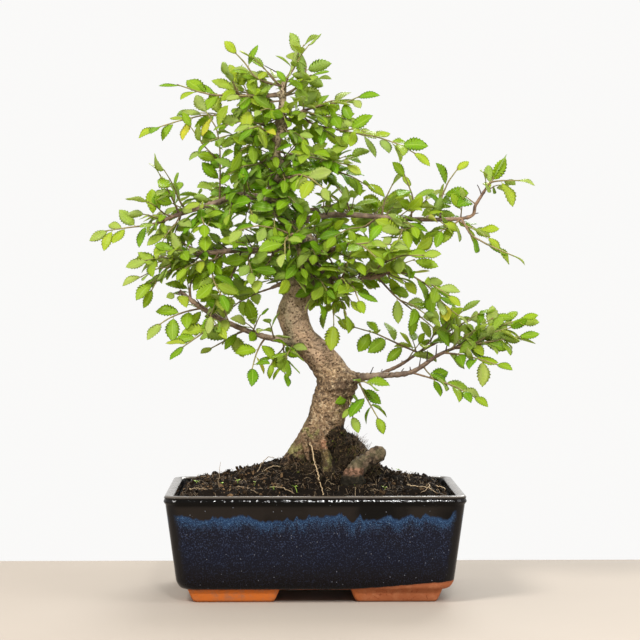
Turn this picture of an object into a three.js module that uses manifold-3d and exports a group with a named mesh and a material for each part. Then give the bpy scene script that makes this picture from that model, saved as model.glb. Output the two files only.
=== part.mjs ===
// A zelkova bonsai, 38 cm tall, in a glazed rectangular pot.
// Millimetres, +Z up. The viewer stands on the -Y side. The origin is on the table, under the pot's middle.
// The trunk and its boughs are one grown piece. Each leafy shoot is a piece with its leaves fused to it.
import * as THREE from "three";
import { mergeVertices } from "three/addons/utils/BufferGeometryUtils.js";
import Module from "manifold-3d";

const wasm = await Module();
wasm.setup();

// Pot: outside at the lip, inside, floor and feet
const POT_LENGTH = 200;
const POT_WIDTH = 146;
const POT_HEIGHT = 72;
const FOOT_HEIGHT = 9;
const WALL = 6.5;
const FLOOR_TOP = 15;
const BATTER = 0.26; // how much longer and wider the pot gets with each millimetre of height
const LIP_DEPTH = 5;
const LIP_PROUD = 1;
const CORNER_RADIUS = 10;
const CORNER_STEPS = 3;
const FOOT_CORNER_STEPS = 1;
const FOOT_SIZE = [62, 25];
const FOOT_SPLAY = 8; // how much shorter and narrower a foot is at the table
const FOOT_CENTRE = [54, 46];
const DRAIN_RADIUS = 6.5;
const DRAIN_CENTRE_X = 40;

// Drainage screens: plastic mesh squares that keep the soil in
const SCREEN_SIDE = 24;
const SCREEN_THICKNESS = 0.8;
const SCREEN_HOLES = 3;
const SCREEN_BAR = 1.4;

// Soil: a mound round the trunk, with a heap of moss-grown soil on its right
const SOIL_EDGE = 66.5;
const SOIL_SHOULDER = 73;
const MOUND = { x: -1, y: 2, height: 19, spreadX: 55, spreadY: 34 };
const HEAP = { x: 27, y: 3, height: 18, spreadX: 13, spreadY: 14 };
const SOIL_LUMP = 1.1;
const SOIL_RINGS = [0.94, 0.78, 0.54, 0.3]; // shares of the way out to the wall
const SOIL_SIDE_POINTS = [4, 2];

const GAP = 0.35; // what lies between two touching pieces
const SHORT_EDGE = 0.12;
const LEAF_LENGTH = 18;
const LEAF_THICKNESS = 1.1;
const LEAF_FOLD = 0.28; // how far the two halves of a blade rise from its rib
const LEAF_SPACING = 6.9;
const LEAF_MARGIN = 1.4; // how far before its twig's end the last leaf sits
const LEAF_TRIES = 7;
const TWIG_RADIUS = 0.72;
const FORK_FROM = 47; // shoots longer than this have a side twig
const FORK_ANGLE = 50;
const CROWN_MIDDLE = [-16, 4];

const BARK = new THREE.MeshStandardMaterial({ color: 0x8a6f55, roughness: 0.85, metalness: 0 });
const LEAF = new THREE.MeshStandardMaterial({ color: 0x6fa82b, roughness: 0.5, metalness: 0 });
const SOIL = new THREE.MeshStandardMaterial({ color: 0x33251c, roughness: 1, metalness: 0 });
const GLAZE = new THREE.MeshStandardMaterial({ color: 0x151c33, roughness: 0.15, metalness: 0 });
const PLASTIC = new THREE.MeshStandardMaterial({ color: 0x1c1c1e, roughness: 0.6, metalness: 0 });

// The trunk's stations from below the soil to its tip: x, y, z and radius
const TRUNK = [
  [2, 0, 56, 17],
  [3, 0, 84, 16],
  [5, 0, 101, 14.4],
  [8, 0, 115, 12.8],
  [12, 1, 130, 12.9],
  [15.5, 2, 141, 13.5],
  [11, 2, 152, 11.3],
  [2, 0, 163, 10.2],
  [-8, -2, 174, 9.8],
  [-13.5, -3, 185, 10.3],
  [-14.3, -3, 194, 10],
  [-9.5, 0, 207, 8.9],
  [-5, 3, 219, 8],
  [-3.8, 5, 230, 7.4],
  [-6, 6, 239, 7],
  [-12, 6, 248, 6.5],
  [-20, 4, 258, 6.2],
  [-26, 2, 267, 6.6],
  [-27, 0, 278, 4.9],
  [-26, -1, 291, 4.3],
  [-27, -1, 303, 4],
  [-25, 0, 315, 3.6],
  [-22, 1, 329, 3],
  [-21, 1, 342, 2.4],
  [-20, 0, 353, 1.5],
];

// Roots that flare from the trunk's foot into the soil, and the thick one that loops out of it in front
const ROOTS = [
  [[4, -1, 116, 9], [-3, -2, 104, 9], [-10, -3, 95, 8], [-18, -4, 85, 6.8], [-29, -6, 73, 5],
    [-42, -8, 58, 2.6]],
  [[8, -4, 110, 9], [10, -10, 98, 7.6], [12, -15, 88, 6.4], [15, -22, 77, 5.2], [20, -31, 62, 4.6],
    [25, -37, 52, 3]],
  [[10, 0, 112, 9], [19, 2, 100, 8], [29, 3, 89, 6.6], [40, 4, 78, 5], [54, 6, 64, 2.6]],
  [[6, 6, 110, 9], [6, 15, 97, 8], [5, 24, 85, 6.2], [3, 34, 73, 4.4], [0, 46, 60, 2.4]],
  [[0, 5, 106, 9], [-8, 12, 92, 7], [-17, 19, 80, 5], [-28, 27, 66, 2.8]],
  [[17, -29, 60, 4], [25, -36, 66, 7], [25, -36, 78, 7.5], [29, -33.5, 87, 6.2], [36, -30, 92.5, 5.4],
    [42, -28, 96, 5.6]],
];

// Swellings and old pruning scars: centre and radius
const KNOBS = [
  [17, -3, 142, 12.6],
  [-18, -4, 190, 7.6],
  [-27, -1, 266, 7.6],
  [42.5, -28, 96, 5.9],
];

// Boughs, each from inside what it grows from: stations of x, y, z and radius
const BOUGHS = {
  right_upper: [[-17, 3, 252, 2.6], [4, -4, 257, 2.1], [25, -7, 258, 1.9], [66, -10, 255, 1.5],
    [104, -13, 256, 1.2],
    [110, -14, 265, 1.1], [117, -15, 276, 0.9]],
  right_middle: [[-4, 4, 227, 2.6], [8, -8, 219, 2.2], [22, -18, 213, 1.9], [42, -26, 216, 1.5],
    [51, -31, 220, 1.1]],
  right_lower: [[14, 2, 144, 4], [30, 0, 146.5, 2.9], [44, -6, 148, 2.2], [66, -10, 150.5, 1.6],
    [84, -13, 162, 1.2],
    [97, -15, 168, 0.9]],
  right_lower_fork: [[43, -5, 148, 1.4], [59, 0, 155, 1.1], [73, 3, 164, 0.9], [84, 4, 170, 0.75]],
  left_lower: [[-8, -2, 172, 3], [-33, -4, 174.5, 2], [-60, -9, 185, 1.7], [-77, -11, 195, 1.7],
    [-92, -12, 206, 1.4]],
  left_middle: [[-9, 6, 243, 2.6], [-30, 1, 234, 2.2], [-51, -6, 234, 1.9], [-79, -9, 231, 1.6],
    [-92, -10, 228, 1.2]],
  left_upper: [[-26, 2, 268, 3], [-52, -3, 271.5, 2.2], [-64.5, -5, 267, 1.9], [-93, -7, 258, 1.4],
    [-106, -8, 252.5, 0.9]],
  top_left: [[-21, 1, 341, 1.7], [-36, -3, 339, 1.3], [-57, -5, 339.5, 0.9]],
  top_right: [[-25, 0, 312, 2.2], [-16.5, -3, 322, 1.7], [-6, -6, 330, 1.1]],
  right_inner: [[-25, 2, 268, 2.6], [-12.5, -4, 280, 1.8], [0.5, -8, 287, 1.1]],
  front_low: [[-6, 6, 238, 2.6], [-10, -14, 242, 1.8], [-15, -34, 244, 1.2]],
  front_right: [[-3, 4, 229, 2.4], [9, -14, 233, 1.6], [17, -30, 236, 1.2]],
  front_high: [[-25, 1, 272, 2.4], [-21, -16, 281, 1.5], [-16, -29, 283, 1.1]],
  back_low: [[-6, 6, 236, 2.8], [0, 26, 242, 2], [5, 42, 245, 1.4]],
  back_left: [[-22, 4, 262, 2.8], [-33, 22, 270, 1.9], [-42, 36, 273, 1.3]],
  back_high: [[-26, 0, 290, 2.2], [-20, 18, 298, 1.5], [-15, 31, 301, 1.1]],
  back_lower_left: [[-5, 4, 220, 2.4], [-18, 20, 213, 1.7], [-29, 34, 208, 1.2]],
  back_right: [[-19, 4, 257, 2.6], [0, 22, 262, 1.8], [20, 37, 266, 1.3]],
};

// Leafy shoots: where each starts, inside the wood that it grows from, and the points that it passes
const SHOOTS = {
  right_upper_tip: [[116, -14.9, 274.5], [119, -16, 280], [127, -18, 281], [138, -20, 281]],
  right_upper_rise_a: [[25, -7, 258], [22, -14, 268], [16, -19, 276]],
  right_upper_rise_b: [[46, -8.6, 256.5], [48, -2, 267], [54, 6, 279]],
  right_upper_rise_c: [[66, -10, 255], [67, -17, 270], [61, -24, 284]],
  right_upper_rise_d: [[86, -11.6, 255.6], [87, -8, 270], [92, -4, 281], [98, -1, 289]],
  right_upper_drop_a: [[56, -9.3, 255.7], [60, -19, 248], [56, -30, 240]],
  right_upper_drop_b: [[100, -12.8, 256], [106, -18, 244], [118, -23, 237], [134, -26, 230]],
  right_upper_behind_a: [[38, -8, 257], [45, 12, 262], [50, 32, 262]],
  right_upper_behind_b: [[75, -10.8, 255.3], [84, 8, 260], [92, 27, 259]],
  right_middle_tip_a: [[50, -30.5, 219.6], [63, -33, 218], [76, -34, 210], [85, -34, 199], [96, -35, 190]],
  right_middle_tip_b: [[42, -26, 216], [54, -26, 203], [69, -24, 191], [82, -22, 180]],
  right_middle_over: [[34, -22.8, 214.8], [46, -37, 225], [58, -47, 230], [71, -54, 230]],
  right_middle_front: [[22, -18, 213], [26, -34, 209], [29, -50, 200]],
  right_middle_rise: [[13, -11.8, 217], [12, -22, 226], [5, -34, 233]],
  right_lower_tip: [[96, -14.8, 167.5], [108, -17, 170], [122, -18, 172], [139, -20, 175]],
  right_lower_fork_tip: [[83, 3.9, 169.5], [92, 8, 177], [102, 13, 183], [111, 18, 186]],
  right_lower_side: [[88, -13.7, 164], [100, -24, 163], [112, -33, 160], [122, -42, 157]],
  right_lower_drop: [[66, -10, 150.5], [82, -15, 146], [95, -20, 141.5], [109, -24, 134]],
  right_lower_return: [[72, 2.7, 163.3], [59, 4, 169], [42, 2, 177], [28, -2, 181]],
  right_lower_near: [[30, 0, 146], [34, -9, 136], [39, -14, 127], [43, -18, 120]],
  left_lower_rise: [[-84, -11.5, 200], [-85, -6, 210], [-80, 0, 219]],
  left_lower_out: [[-76, -10.8, 194.5], [-88, -16, 192], [-98, -20, 188], [-104, -24, 184]],
  left_lower_drop_a: [[-60, -9, 185], [-69, -20, 182], [-78, -29, 176], [-88, -36, 169]],
  left_lower_drop_b: [[-46, -6.4, 179.5], [-54, 6, 176], [-62, 16, 171], [-71, 25, 166]],
  left_lower_inner: [[-33, -4, 174.5], [-37, -14, 169], [-40, -24, 162], [-42, -32, 154]],
  left_middle_tip: [[-91, -9.9, 228.2], [-99, -13, 223], [-106, -16, 215], [-110, -18, 207]],
  left_middle_out: [[-78, -8.9, 231], [-88, -2, 238], [-98, 5, 243]],
  left_middle_hang: [[-65, -7.5, 232.5], [-70, -18, 223], [-68, -28, 213], [-63, -36, 204]],
  left_middle_front: [[-42, -3.1, 234], [-45, -19, 228], [-42, -36, 219]],
  left_middle_behind: [[-58, -6.7, 233.3], [-64, 12, 238], [-71, 32, 238]],
  left_upper_tip: [[-105, -7.9, 253], [-116, -9, 250.5], [-128, -11, 249], [-141, -12, 247]],
  left_upper_rise: [[-92, -6.9, 258.5], [-96, -12, 268], [-100, -17, 276], [-104, -21, 284]],
  left_upper_front: [[-76, -5.8, 263.5], [-77, -21, 258], [-74, -37, 251]],
  left_upper_tall: [[-64.5, -5, 267], [-64, -9, 285], [-64, -13, 303], [-66, -17, 316], [-73, -20, 327]],
  left_upper_behind: [[-70, -5.3, 265.4], [-78, 14, 271], [-87, 34, 273]],
  left_upper_inner: [[-45, -1.6, 270.6], [-46, -18, 267], [-42, -34, 258]],
  upper_left_long: [[-25, 0, 314], [-36, -3, 320], [-56, -6, 325], [-75, -7, 326], [-92, -7, 322],
    [-108, -7, 317]],
  top_left_tip: [[-56, -4.9, 339.5], [-69, -6, 339.5], [-80, -8, 342], [-92, -10, 346]],
  top_left_crest: [[-21, 0.7, 346], [-33, -6, 348], [-41, -9, 352], [-47, -12, 361], [-53, -14, 367]],
  top_left_back: [[-40, -3.4, 339], [-47, 12, 343], [-55, 27, 344]],
  top_right_crest: [[-21, 1, 340], [-11, 4, 346], [-6, 5, 353], [-5, 4, 362], [-9, 2, 369]],
  top_right_tip: [[-7, -5.7, 329], [10, -8, 334], [21, -10, 334], [30, -12, 338]],
  upper_right_long: [[-13, -4, 324.8], [4, -12, 318], [22, -18, 314], [43, -23, 310], [57, -27, 305],
    [67, -30, 299]],
  right_inner_tip: [[0, -7.8, 286.6], [14, -9, 288], [26, -9, 284], [36, -8, 278]],
  upper_right_low: [[-27, -1, 302], [-15, -10, 299], [-3, -18, 297], [10, -25, 294], [22, -32, 291]],
  front_low_tip: [[-15, -33, 244], [-18, -47, 243], [-20, -61, 239], [-20, -74, 231]],
  front_low_left: [[-12, -22, 242.8], [-25, -32, 248], [-38, -42, 250], [-49, -51, 247]],
  front_right_tip: [[17, -29, 236], [24, -43, 238], [32, -58, 236], [39, -71, 229]],
  front_high_tip: [[-16.3, -28, 283], [-10, -42, 284], [-3, -55, 281], [5, -66, 274]],
  front_upper: [[-26, -1, 306], [-32, -16, 314], [-38, -32, 317], [-44, -46, 314]],
  back_low_tip: [[5, 41, 245], [9, 54, 245], [11, 66, 241], [9, 77, 234]],
  back_left_tip: [[-41.5, 35.5, 273], [-51, 50, 274], [-60, 63, 270], [-68, 73, 263]],
  back_high_tip: [[-15.2, 30.5, 300.9], [-7, 43, 301], [2, 54, 297], [10, 63, 290]],
  back_lower_left_tip: [[-28.5, 33.5, 208], [-40, 46, 204], [-52, 57, 198], [-62, 66, 190]],
  back_right_tip: [[19.5, 36.5, 266], [35, 46, 266], [50, 55, 263], [63, 62, 256]],
};

// A closed mesh through rings of points, each ring running anticlockwise seen from the last one's end.
function loft(rings) {
  const columns = rings[0].length;
  const rows = rings.length - 1;
  const geometry = new THREE.CylinderGeometry(1, 1, 1, columns, rows);
  const place = geometry.getAttribute("position");
  const centres = rings.map((ring) =>
    ring.reduce((sum, point) => sum.add(point), new THREE.Vector3()).divideScalar(columns));
  for (let i = 0; i < place.count; i++) {
    const row = Math.round((place.getY(i) + 0.5) * rows);
    const onAxis = Math.hypot(place.getX(i), place.getZ(i)) < 0.5;
    const turn = Math.atan2(place.getX(i), place.getZ(i)) / (2 * Math.PI);
    const column = (Math.round(turn * columns) + columns) % columns;
    const point = onAxis ? centres[row] : rings[row][column];
    place.setXYZ(i, point.x, point.y, point.z);
  }
  return geometry;
}

// A three.js geometry as a solid that can be joined and cut.
function solidOf(geometry) {
  geometry.deleteAttribute("normal");
  geometry.deleteAttribute("uv");
  const merged = mergeVertices(geometry, 1e-4);
  return new wasm.Manifold(new wasm.Mesh({
    numProp: 3,
    vertProperties: merged.getAttribute("position").array,
    triVerts: new Uint32Array(merged.getIndex().array),
  }));
}

// A solid back as a three.js mesh with its name and material.
function pieceOf(name, solid, material) {
  const { vertProperties, triVerts } = solid.getMesh();
  const geometry = new THREE.BufferGeometry();
  geometry.setAttribute("position", new THREE.BufferAttribute(vertProperties, 3));
  geometry.setIndex(new THREE.BufferAttribute(triVerts, 1));
  geometry.computeVertexNormals();
  const mesh = new THREE.Mesh(geometry, material);
  mesh.name = name;
  return mesh;
}

const union = (solids) => wasm.Manifold.union(solids);

// A solid without the short edges that joining and cutting leave.
const cleaned = (solid, tolerance) => solid.simplify(tolerance);

// The largest of a solid's separate bodies: loose scraps of a cut are dropped.
const largestBody = (solid) => solid.decompose().reduce((a, b) => (a.volume() > b.volume() ? a : b));

// A tapering round limb through stations of x, y, z and radius. "grow" makes it that much fatter and longer.
function limb(stations, sides, grow = 0) {
  const points = stations.map(([x, y, z]) => new THREE.Vector3(x, y, z));
  const last = points.length - 1;
  const tangents = points.map((_, i) =>
    points[Math.min(i + 1, last)].clone().sub(points[Math.max(i - 1, 0)]).normalize());
  points[0].addScaledVector(tangents[0], -grow);
  points[last].addScaledVector(tangents[last], grow);
  let normal = new THREE.Vector3(0, 1, 0).cross(tangents[0]);
  if (normal.length() < 0.3) normal = new THREE.Vector3(1, 0, 0);
  const rings = points.map((point, i) => {
    normal.addScaledVector(tangents[i], -normal.dot(tangents[i])).normalize();
    const binormal = normal.clone().cross(tangents[i]);
    const radius = stations[i][3] + grow;
    return Array.from({ length: sides }, (_, k) => {
      const turn = (2 * Math.PI * k) / sides;
      return point.clone()
        .addScaledVector(normal, radius * Math.sin(turn))
        .addScaledVector(binormal, radius * Math.cos(turn));
    });
  });
  return solidOf(loft(rings));
}

// A ring of points round a rectangle with rounded corners, anticlockwise seen from above. "between" tells
// how many more points lie along each side of its width and of its length.
function roundedRing(length, width, radius, z, shape = {}) {
  const { centre = [0, 0], steps = CORNER_STEPS, between = [0, 0] } = shape;
  const ring = [];
  const corners = [[1, -1], [1, 1], [-1, 1], [-1, -1]];
  corners.forEach(([sx, sy], corner) => {
    const start = (corner - 1) * (Math.PI / 2);
    for (let k = 0; k <= steps; k++) {
      const turn = start + ((Math.PI / 2) * k) / steps;
      const x = sx * (length / 2 - radius) + radius * Math.cos(turn);
      const y = sy * (width / 2 - radius) + radius * Math.sin(turn);
      ring.push(new THREE.Vector3(centre[0] + x, centre[1] + y, z));
    }
    const last = ring[ring.length - 1];
    const [nx, ny] = corners[(corner + 1) % 4];
    const along = [(nx - sx) / 2, (ny - sy) / 2];
    const more = between[corner % 2];
    const step = ((corner % 2 === 0 ? width : length) - 2 * radius) / (more + 1);
    for (let k = 1; k <= more; k++)
      ring.push(new THREE.Vector3(last.x + along[0] * step * k, last.y + along[1] * step * k, z));
  });
  return ring;
}

// The pot: a battered box with a rolled lip, four splayed feet and two drain holes, fired in one piece.
function pot() {
  const under = POT_HEIGHT - LIP_DEPTH;
  const body = (z, inset = 0) => {
    const narrower = (under - z) * BATTER + inset;
    const [length, width] = [POT_LENGTH - 2 * LIP_PROUD - narrower, POT_WIDTH - 2 * LIP_PROUD - narrower];
    return roundedRing(length, width, CORNER_RADIUS, z);
  };
  const lip = (z, inset) => roundedRing(POT_LENGTH - inset, POT_WIDTH - inset, CORNER_RADIUS, z);
  const outside = loft([
    body(FOOT_HEIGHT, 9), body(FOOT_HEIGHT + 2, 3.5), body(FOOT_HEIGHT + 6), body(under - 0.8),
    lip(under + 0.5, 0.6), lip(POT_HEIGHT - 2, 0), lip(POT_HEIGHT - 0.6, 1), lip(POT_HEIGHT, 3.2),
  ]);
  const hollow = (z, rounding) => {
    const narrower = 2 * WALL + (POT_HEIGHT - z) * BATTER + rounding;
    return roundedRing(POT_LENGTH - narrower, POT_WIDTH - narrower, CORNER_RADIUS - 3, z);
  };
  const inside = loft([
    hollow(FLOOR_TOP, 3), hollow(FLOOR_TOP + 2, 0), hollow(POT_HEIGHT - 2, 0), hollow(POT_HEIGHT + 1, -4),
  ]);
  const feet = [[-1, -1], [1, -1], [1, 1], [-1, 1]].map(([sx, sy]) => {
    const shape = { centre: [sx * FOOT_CENTRE[0], sy * FOOT_CENTRE[1]], steps: FOOT_CORNER_STEPS };
    const ring = (smaller, z) => roundedRing(FOOT_SIZE[0] - smaller, FOOT_SIZE[1] - smaller, 2.5, z, shape);
    return solidOf(loft([ring(FOOT_SPLAY + 1.6, 0), ring(FOOT_SPLAY, 0.8), ring(0, FOOT_HEIGHT + 1)]));
  });
  const drains = [-1, 1].map((side) => {
    const hole = new THREE.CylinderGeometry(DRAIN_RADIUS, DRAIN_RADIUS, 4 * WALL, 12);
    return solidOf(hole.rotateX(Math.PI / 2).translate(side * DRAIN_CENTRE_X, 0, FLOOR_TOP));
  });
  return union([solidOf(outside).subtract(solidOf(inside)), ...feet]).subtract(union(drains));
}

// A square of plastic mesh that lies over one drain hole.
function drainScreen(side) {
  const at = [side * DRAIN_CENTRE_X, 0, FLOOR_TOP + GAP + SCREEN_THICKNESS / 2];
  const plate = solidOf(new THREE.BoxGeometry(SCREEN_SIDE, SCREEN_SIDE, SCREEN_THICKNESS).translate(...at));
  const pitch = (SCREEN_SIDE - SCREEN_BAR) / SCREEN_HOLES;
  const holes = [];
  for (let i = 0; i < SCREEN_HOLES; i++)
    for (let j = 0; j < SCREEN_HOLES; j++) {
      const hole = new THREE.BoxGeometry(pitch - SCREEN_BAR, pitch - SCREEN_BAR, 4 * SCREEN_THICKNESS);
      const from = (k) => (k - (SCREEN_HOLES - 1) / 2) * pitch;
      holes.push(solidOf(hole.translate(at[0] + from(i), at[1] + from(j), at[2])));
    }
  return plate.subtract(union(holes));
}

// How high the soil stands at x, y: "inward" is 0 at the pot's wall and 1 well inside.
function soilHeight(x, y, inward) {
  const hill = ({ x: cx, y: cy, height, spreadX, spreadY }) =>
    height * Math.exp(-(((x - cx) / spreadX) ** 2) - ((y - cy) / spreadY) ** 2);
  const lump = SOIL_LUMP * (Math.sin(0.31 * x + 1.3) * Math.cos(0.27 * y) + Math.sin(0.53 * y + 0.19 * x));
  return SOIL_EDGE + inward * (SOIL_SHOULDER - SOIL_EDGE + hill(MOUND) + hill(HEAP) + lump);
}

// The soil: it fills the pot and mounds up round the trunk, which stands in a plain hole in it.
function soil(treeWithGap) {
  const against = (z, rounding) => {
    const narrower = 2 * (WALL + GAP) + (POT_HEIGHT - z) * BATTER + rounding;
    return roundedRing(POT_LENGTH - narrower, POT_WIDTH - narrower, CORNER_RADIUS - 3, z,
      { steps: 1, between: [SOIL_SIDE_POINTS[1], SOIL_SIDE_POINTS[0]] });
  };
  const edge = against(SOIL_EDGE, 0);
  const surface = SOIL_RINGS.map((share) => edge.map((point) => {
    const x = MOUND.x + (point.x - MOUND.x) * share;
    const y = MOUND.y + (point.y - MOUND.y) * share;
    return new THREE.Vector3(x, y, soilHeight(x, y, Math.min(1, (1 - share) / 0.14)));
  }));
  const bottom = [against(FLOOR_TOP + GAP, 3.2), against(FLOOR_TOP + 2 + GAP, 0)];
  const mound = solidOf(loft([...bottom, edge, ...surface]));
  const screenPockets = [-1, 1].map((side) => {
    const room = SCREEN_SIDE + 2 * GAP;
    const pocket = new THREE.BoxGeometry(room, room, 2 * (SCREEN_THICKNESS + 2 * GAP));
    return solidOf(pocket.translate(side * DRAIN_CENTRE_X, 0, FLOOR_TOP));
  });
  return largestBody(cleaned(mound.subtract(union([treeWithGap, ...screenPockets])), SHORT_EDGE));
}

// The tree's wood in one grown piece: trunk, roots, swellings and boughs.
function tree(grow = 0) {
  const boughSides = (stations) => (stations[0][3] > 2.5 ? 5 : 4);
  return cleaned(union([
    limb(TRUNK, 10, grow),
    ...ROOTS.map((stations) => limb(stations, 6, grow)),
    ...KNOBS.map(([x, y, z, r]) =>
      solidOf(new THREE.IcosahedronGeometry(r + grow, 1).translate(x, y, z))),
    ...Object.values(BOUGHS).map((stations) => limb(stations, boughSides(stations), grow)),
  ]), SHORT_EDGE);
}

// A number from 0 to 1 that is always the same for the same shoot, leaf, try and use.
function chance(shoot, leaf, attempt, use) {
  let h = Math.imul(shoot + 1, 73856093) ^ Math.imul(leaf + 1, 19349663);
  h ^= Math.imul(attempt + 1, 83492791) ^ Math.imul(use + 1, 49979687);
  h = Math.imul(h ^ (h >>> 16), 0x85ebca6b);
  h = Math.imul(h ^ (h >>> 13), 0xc2b2ae35);
  return ((h ^ (h >>> 16)) >>> 0) / 4294967296;
}

const lengthOf = (points) => points.slice(1).reduce((sum, p, i) => sum + p.distanceTo(points[i]), 0);

// The point and the direction at a share of the way along a line of points.
function along(points, share) {
  const lengths = points.slice(1).map((p, i) => p.distanceTo(points[i]));
  let left = share * lengthOf(points);
  let k = 0;
  while (k < lengths.length - 1 && left > lengths[k]) left -= lengths[k++];
  const direction = points[k + 1].clone().sub(points[k]).normalize();
  return { point: points[k].clone().addScaledVector(direction, left), direction };
}

// The side twig of a longer shoot: it leaves level with the shoot, towards the side with more room.
function forkOf(points) {
  const length = lengthOf(points);
  if (length < FORK_FROM) return null;
  const { point, direction } = along(points, 0.4);
  const side = direction.clone().cross(new THREE.Vector3(0, 0, 1)).normalize();
  const wanted = Math.abs(point.y) < 45 ? Math.sign(point.y + 8) : -Math.sign(point.y);
  if (side.y * wanted < 0) side.negate();
  const turn = THREE.MathUtils.degToRad(FORK_ANGLE);
  const heading = direction.clone().multiplyScalar(Math.cos(turn)).addScaledVector(side, Math.sin(turn));
  const reach = Math.min(0.52 * length, 30);
  const bend = point.clone().addScaledVector(heading, reach / 2).add(new THREE.Vector3(0, 0, 0.08 * reach));
  const end = bend.clone().addScaledVector(heading.add(direction.multiplyScalar(0.5)).normalize(), reach / 2);
  return [point, bend, end];
}

// Where a leaf sits and how it is turned: alternate sides of the twig, facing up and out of the crown.
function leafPose(shoot, points, bare, leaf, count, attempt) {
  const draw = (use) => chance(shoot, leaf + 100 * bare, attempt, use);
  const terminal = leaf === count - 1;
  const end = 1 - LEAF_MARGIN / lengthOf(points);
  const share = terminal ? end : bare + ((end - bare) * (leaf + 0.35)) / count;
  const { point, direction } = along(points, share);
  const out = [(point.x - CROWN_MIDDLE[0]) / 220, point.y < CROWN_MIDDLE[1] ? -0.72 : 0.72];
  const face = new THREE.Vector3(draw(0) - 0.5, draw(1) - 0.5, draw(2) - 0.5).multiplyScalar(1.1)
    .add(new THREE.Vector3(out[0], out[1], 0.6)).normalize();
  const sideways = face.clone().cross(direction).normalize();
  const spread = THREE.MathUtils.degToRad(terminal ? 24 * (draw(3) - 0.5) : 42 + 26 * draw(3));
  const hand = leaf % 2 === 0 ? 1 : -1;
  const ahead = direction.clone().multiplyScalar(Math.cos(spread))
    .addScaledVector(sideways, hand * Math.sin(spread))
    .add(new THREE.Vector3(0, 0, -0.34 * draw(4))).normalize();
  const across = face.clone().cross(ahead).normalize();
  across.applyAxisAngle(ahead, THREE.MathUtils.degToRad(50 * (draw(5) - 0.5)));
  const size = (0.76 + 0.24 * Math.sin(Math.PI * share)) * (0.86 + 0.32 * draw(6)) * (attempt > 3 ? 0.8 : 1);
  return { point, ahead, across, up: ahead.clone().cross(across), length: LEAF_LENGTH * size };
}

// Half a leaf's outline from base to tip, with two saw teeth. Shares of its length: how far along and out.
const LEAF_EDGE = [[0.42, 0.27], [0.44, 0.215], [0.7, 0.22], [0.72, 0.16]];
const LEAF_RIB = [0.25, 0.66];

// A leaf blade: a thin lens with its two halves raised from the rib, pointed at both ends and toothed.
function leafBlade({ point, ahead, across, up, length }) {
  const at = (u, v, lift) => point.clone()
    .addScaledVector(ahead, u * length).addScaledVector(across, v * length).addScaledVector(up, lift);
  const side = (hand) => LEAF_EDGE.map(([u, v]) => at(u, hand * v, LEAF_FOLD * v * length));
  const rim = [at(0, 0, 0), ...side(1), at(1, 0, -0.05 * length), ...side(-1).reverse()];
  const ribs = [0.5, -0.5].map((face) => LEAF_RIB.map((u) => at(u, 0, face * LEAF_THICKNESS)));
  const split = 2; // the rim point where the two fans of each face meet
  const tip = LEAF_EDGE.length + 1;
  const triangles = [];
  ribs.forEach(([near, far], face) => {
    const put = (a, b, c) => triangles.push(...(face === 0 ? [a, c, b] : [a, b, c]));
    for (let i = 0; i < rim.length; i++) {
      const middle = i + 0.5;
      const rib = middle > split && middle < 2 * tip - split ? far : near;
      put(rib, rim[i], rim[(i + 1) % rim.length]);
    }
    put(near, rim[split], far);
    put(far, rim[2 * tip - split], near);
  });
  return solidOf(new THREE.BufferGeometry().setFromPoints(triangles));
}

const boxesMeet = (a, b) => [0, 1, 2].every((k) => a.min[k] < b.max[k] + 1 && b.min[k] < a.max[k] + 1);

// True if a solid keeps its gap to every piece that is already there, other than its own shoot's stem.
function isClear(solid, placed, shoot) {
  const box = solid.boundingBox();
  return placed.every((other) =>
    (other.stem && other.shoot === shoot) ||
    !boxesMeet(box, other.box) ||
    solid.minGap(other.solid, 1) > GAP);
}

// A twig through its points, three-sided and thinner towards its end. A side twig starts thin.
function twig(points, startRadius = TWIG_RADIUS * 1.1) {
  const last = points.length - 1;
  const radius = (i) => (i === 0 ? startRadius : TWIG_RADIUS * (1.1 - (0.35 * i) / last));
  return limb(points.map((p, i) => [p.x, p.y, p.z, radius(i)]), 3);
}

// A shoot's points without those in the bark: it starts where its twig is just clear of the wood.
function startOutside(points, wood) {
  const [first, second] = points;
  const run = first.distanceTo(second);
  for (let back = 0.5; back < run; back += 0.25) {
    const start = first.clone().lerp(second, back / run);
    const stem = twig([start, ...points.slice(1)]);
    if (stem.minGap(wood, 1) > GAP - 0.05) return [start, ...points.slice(1)];
  }
  throw new Error("a shoot doesn't come clear of the wood");
}

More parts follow.
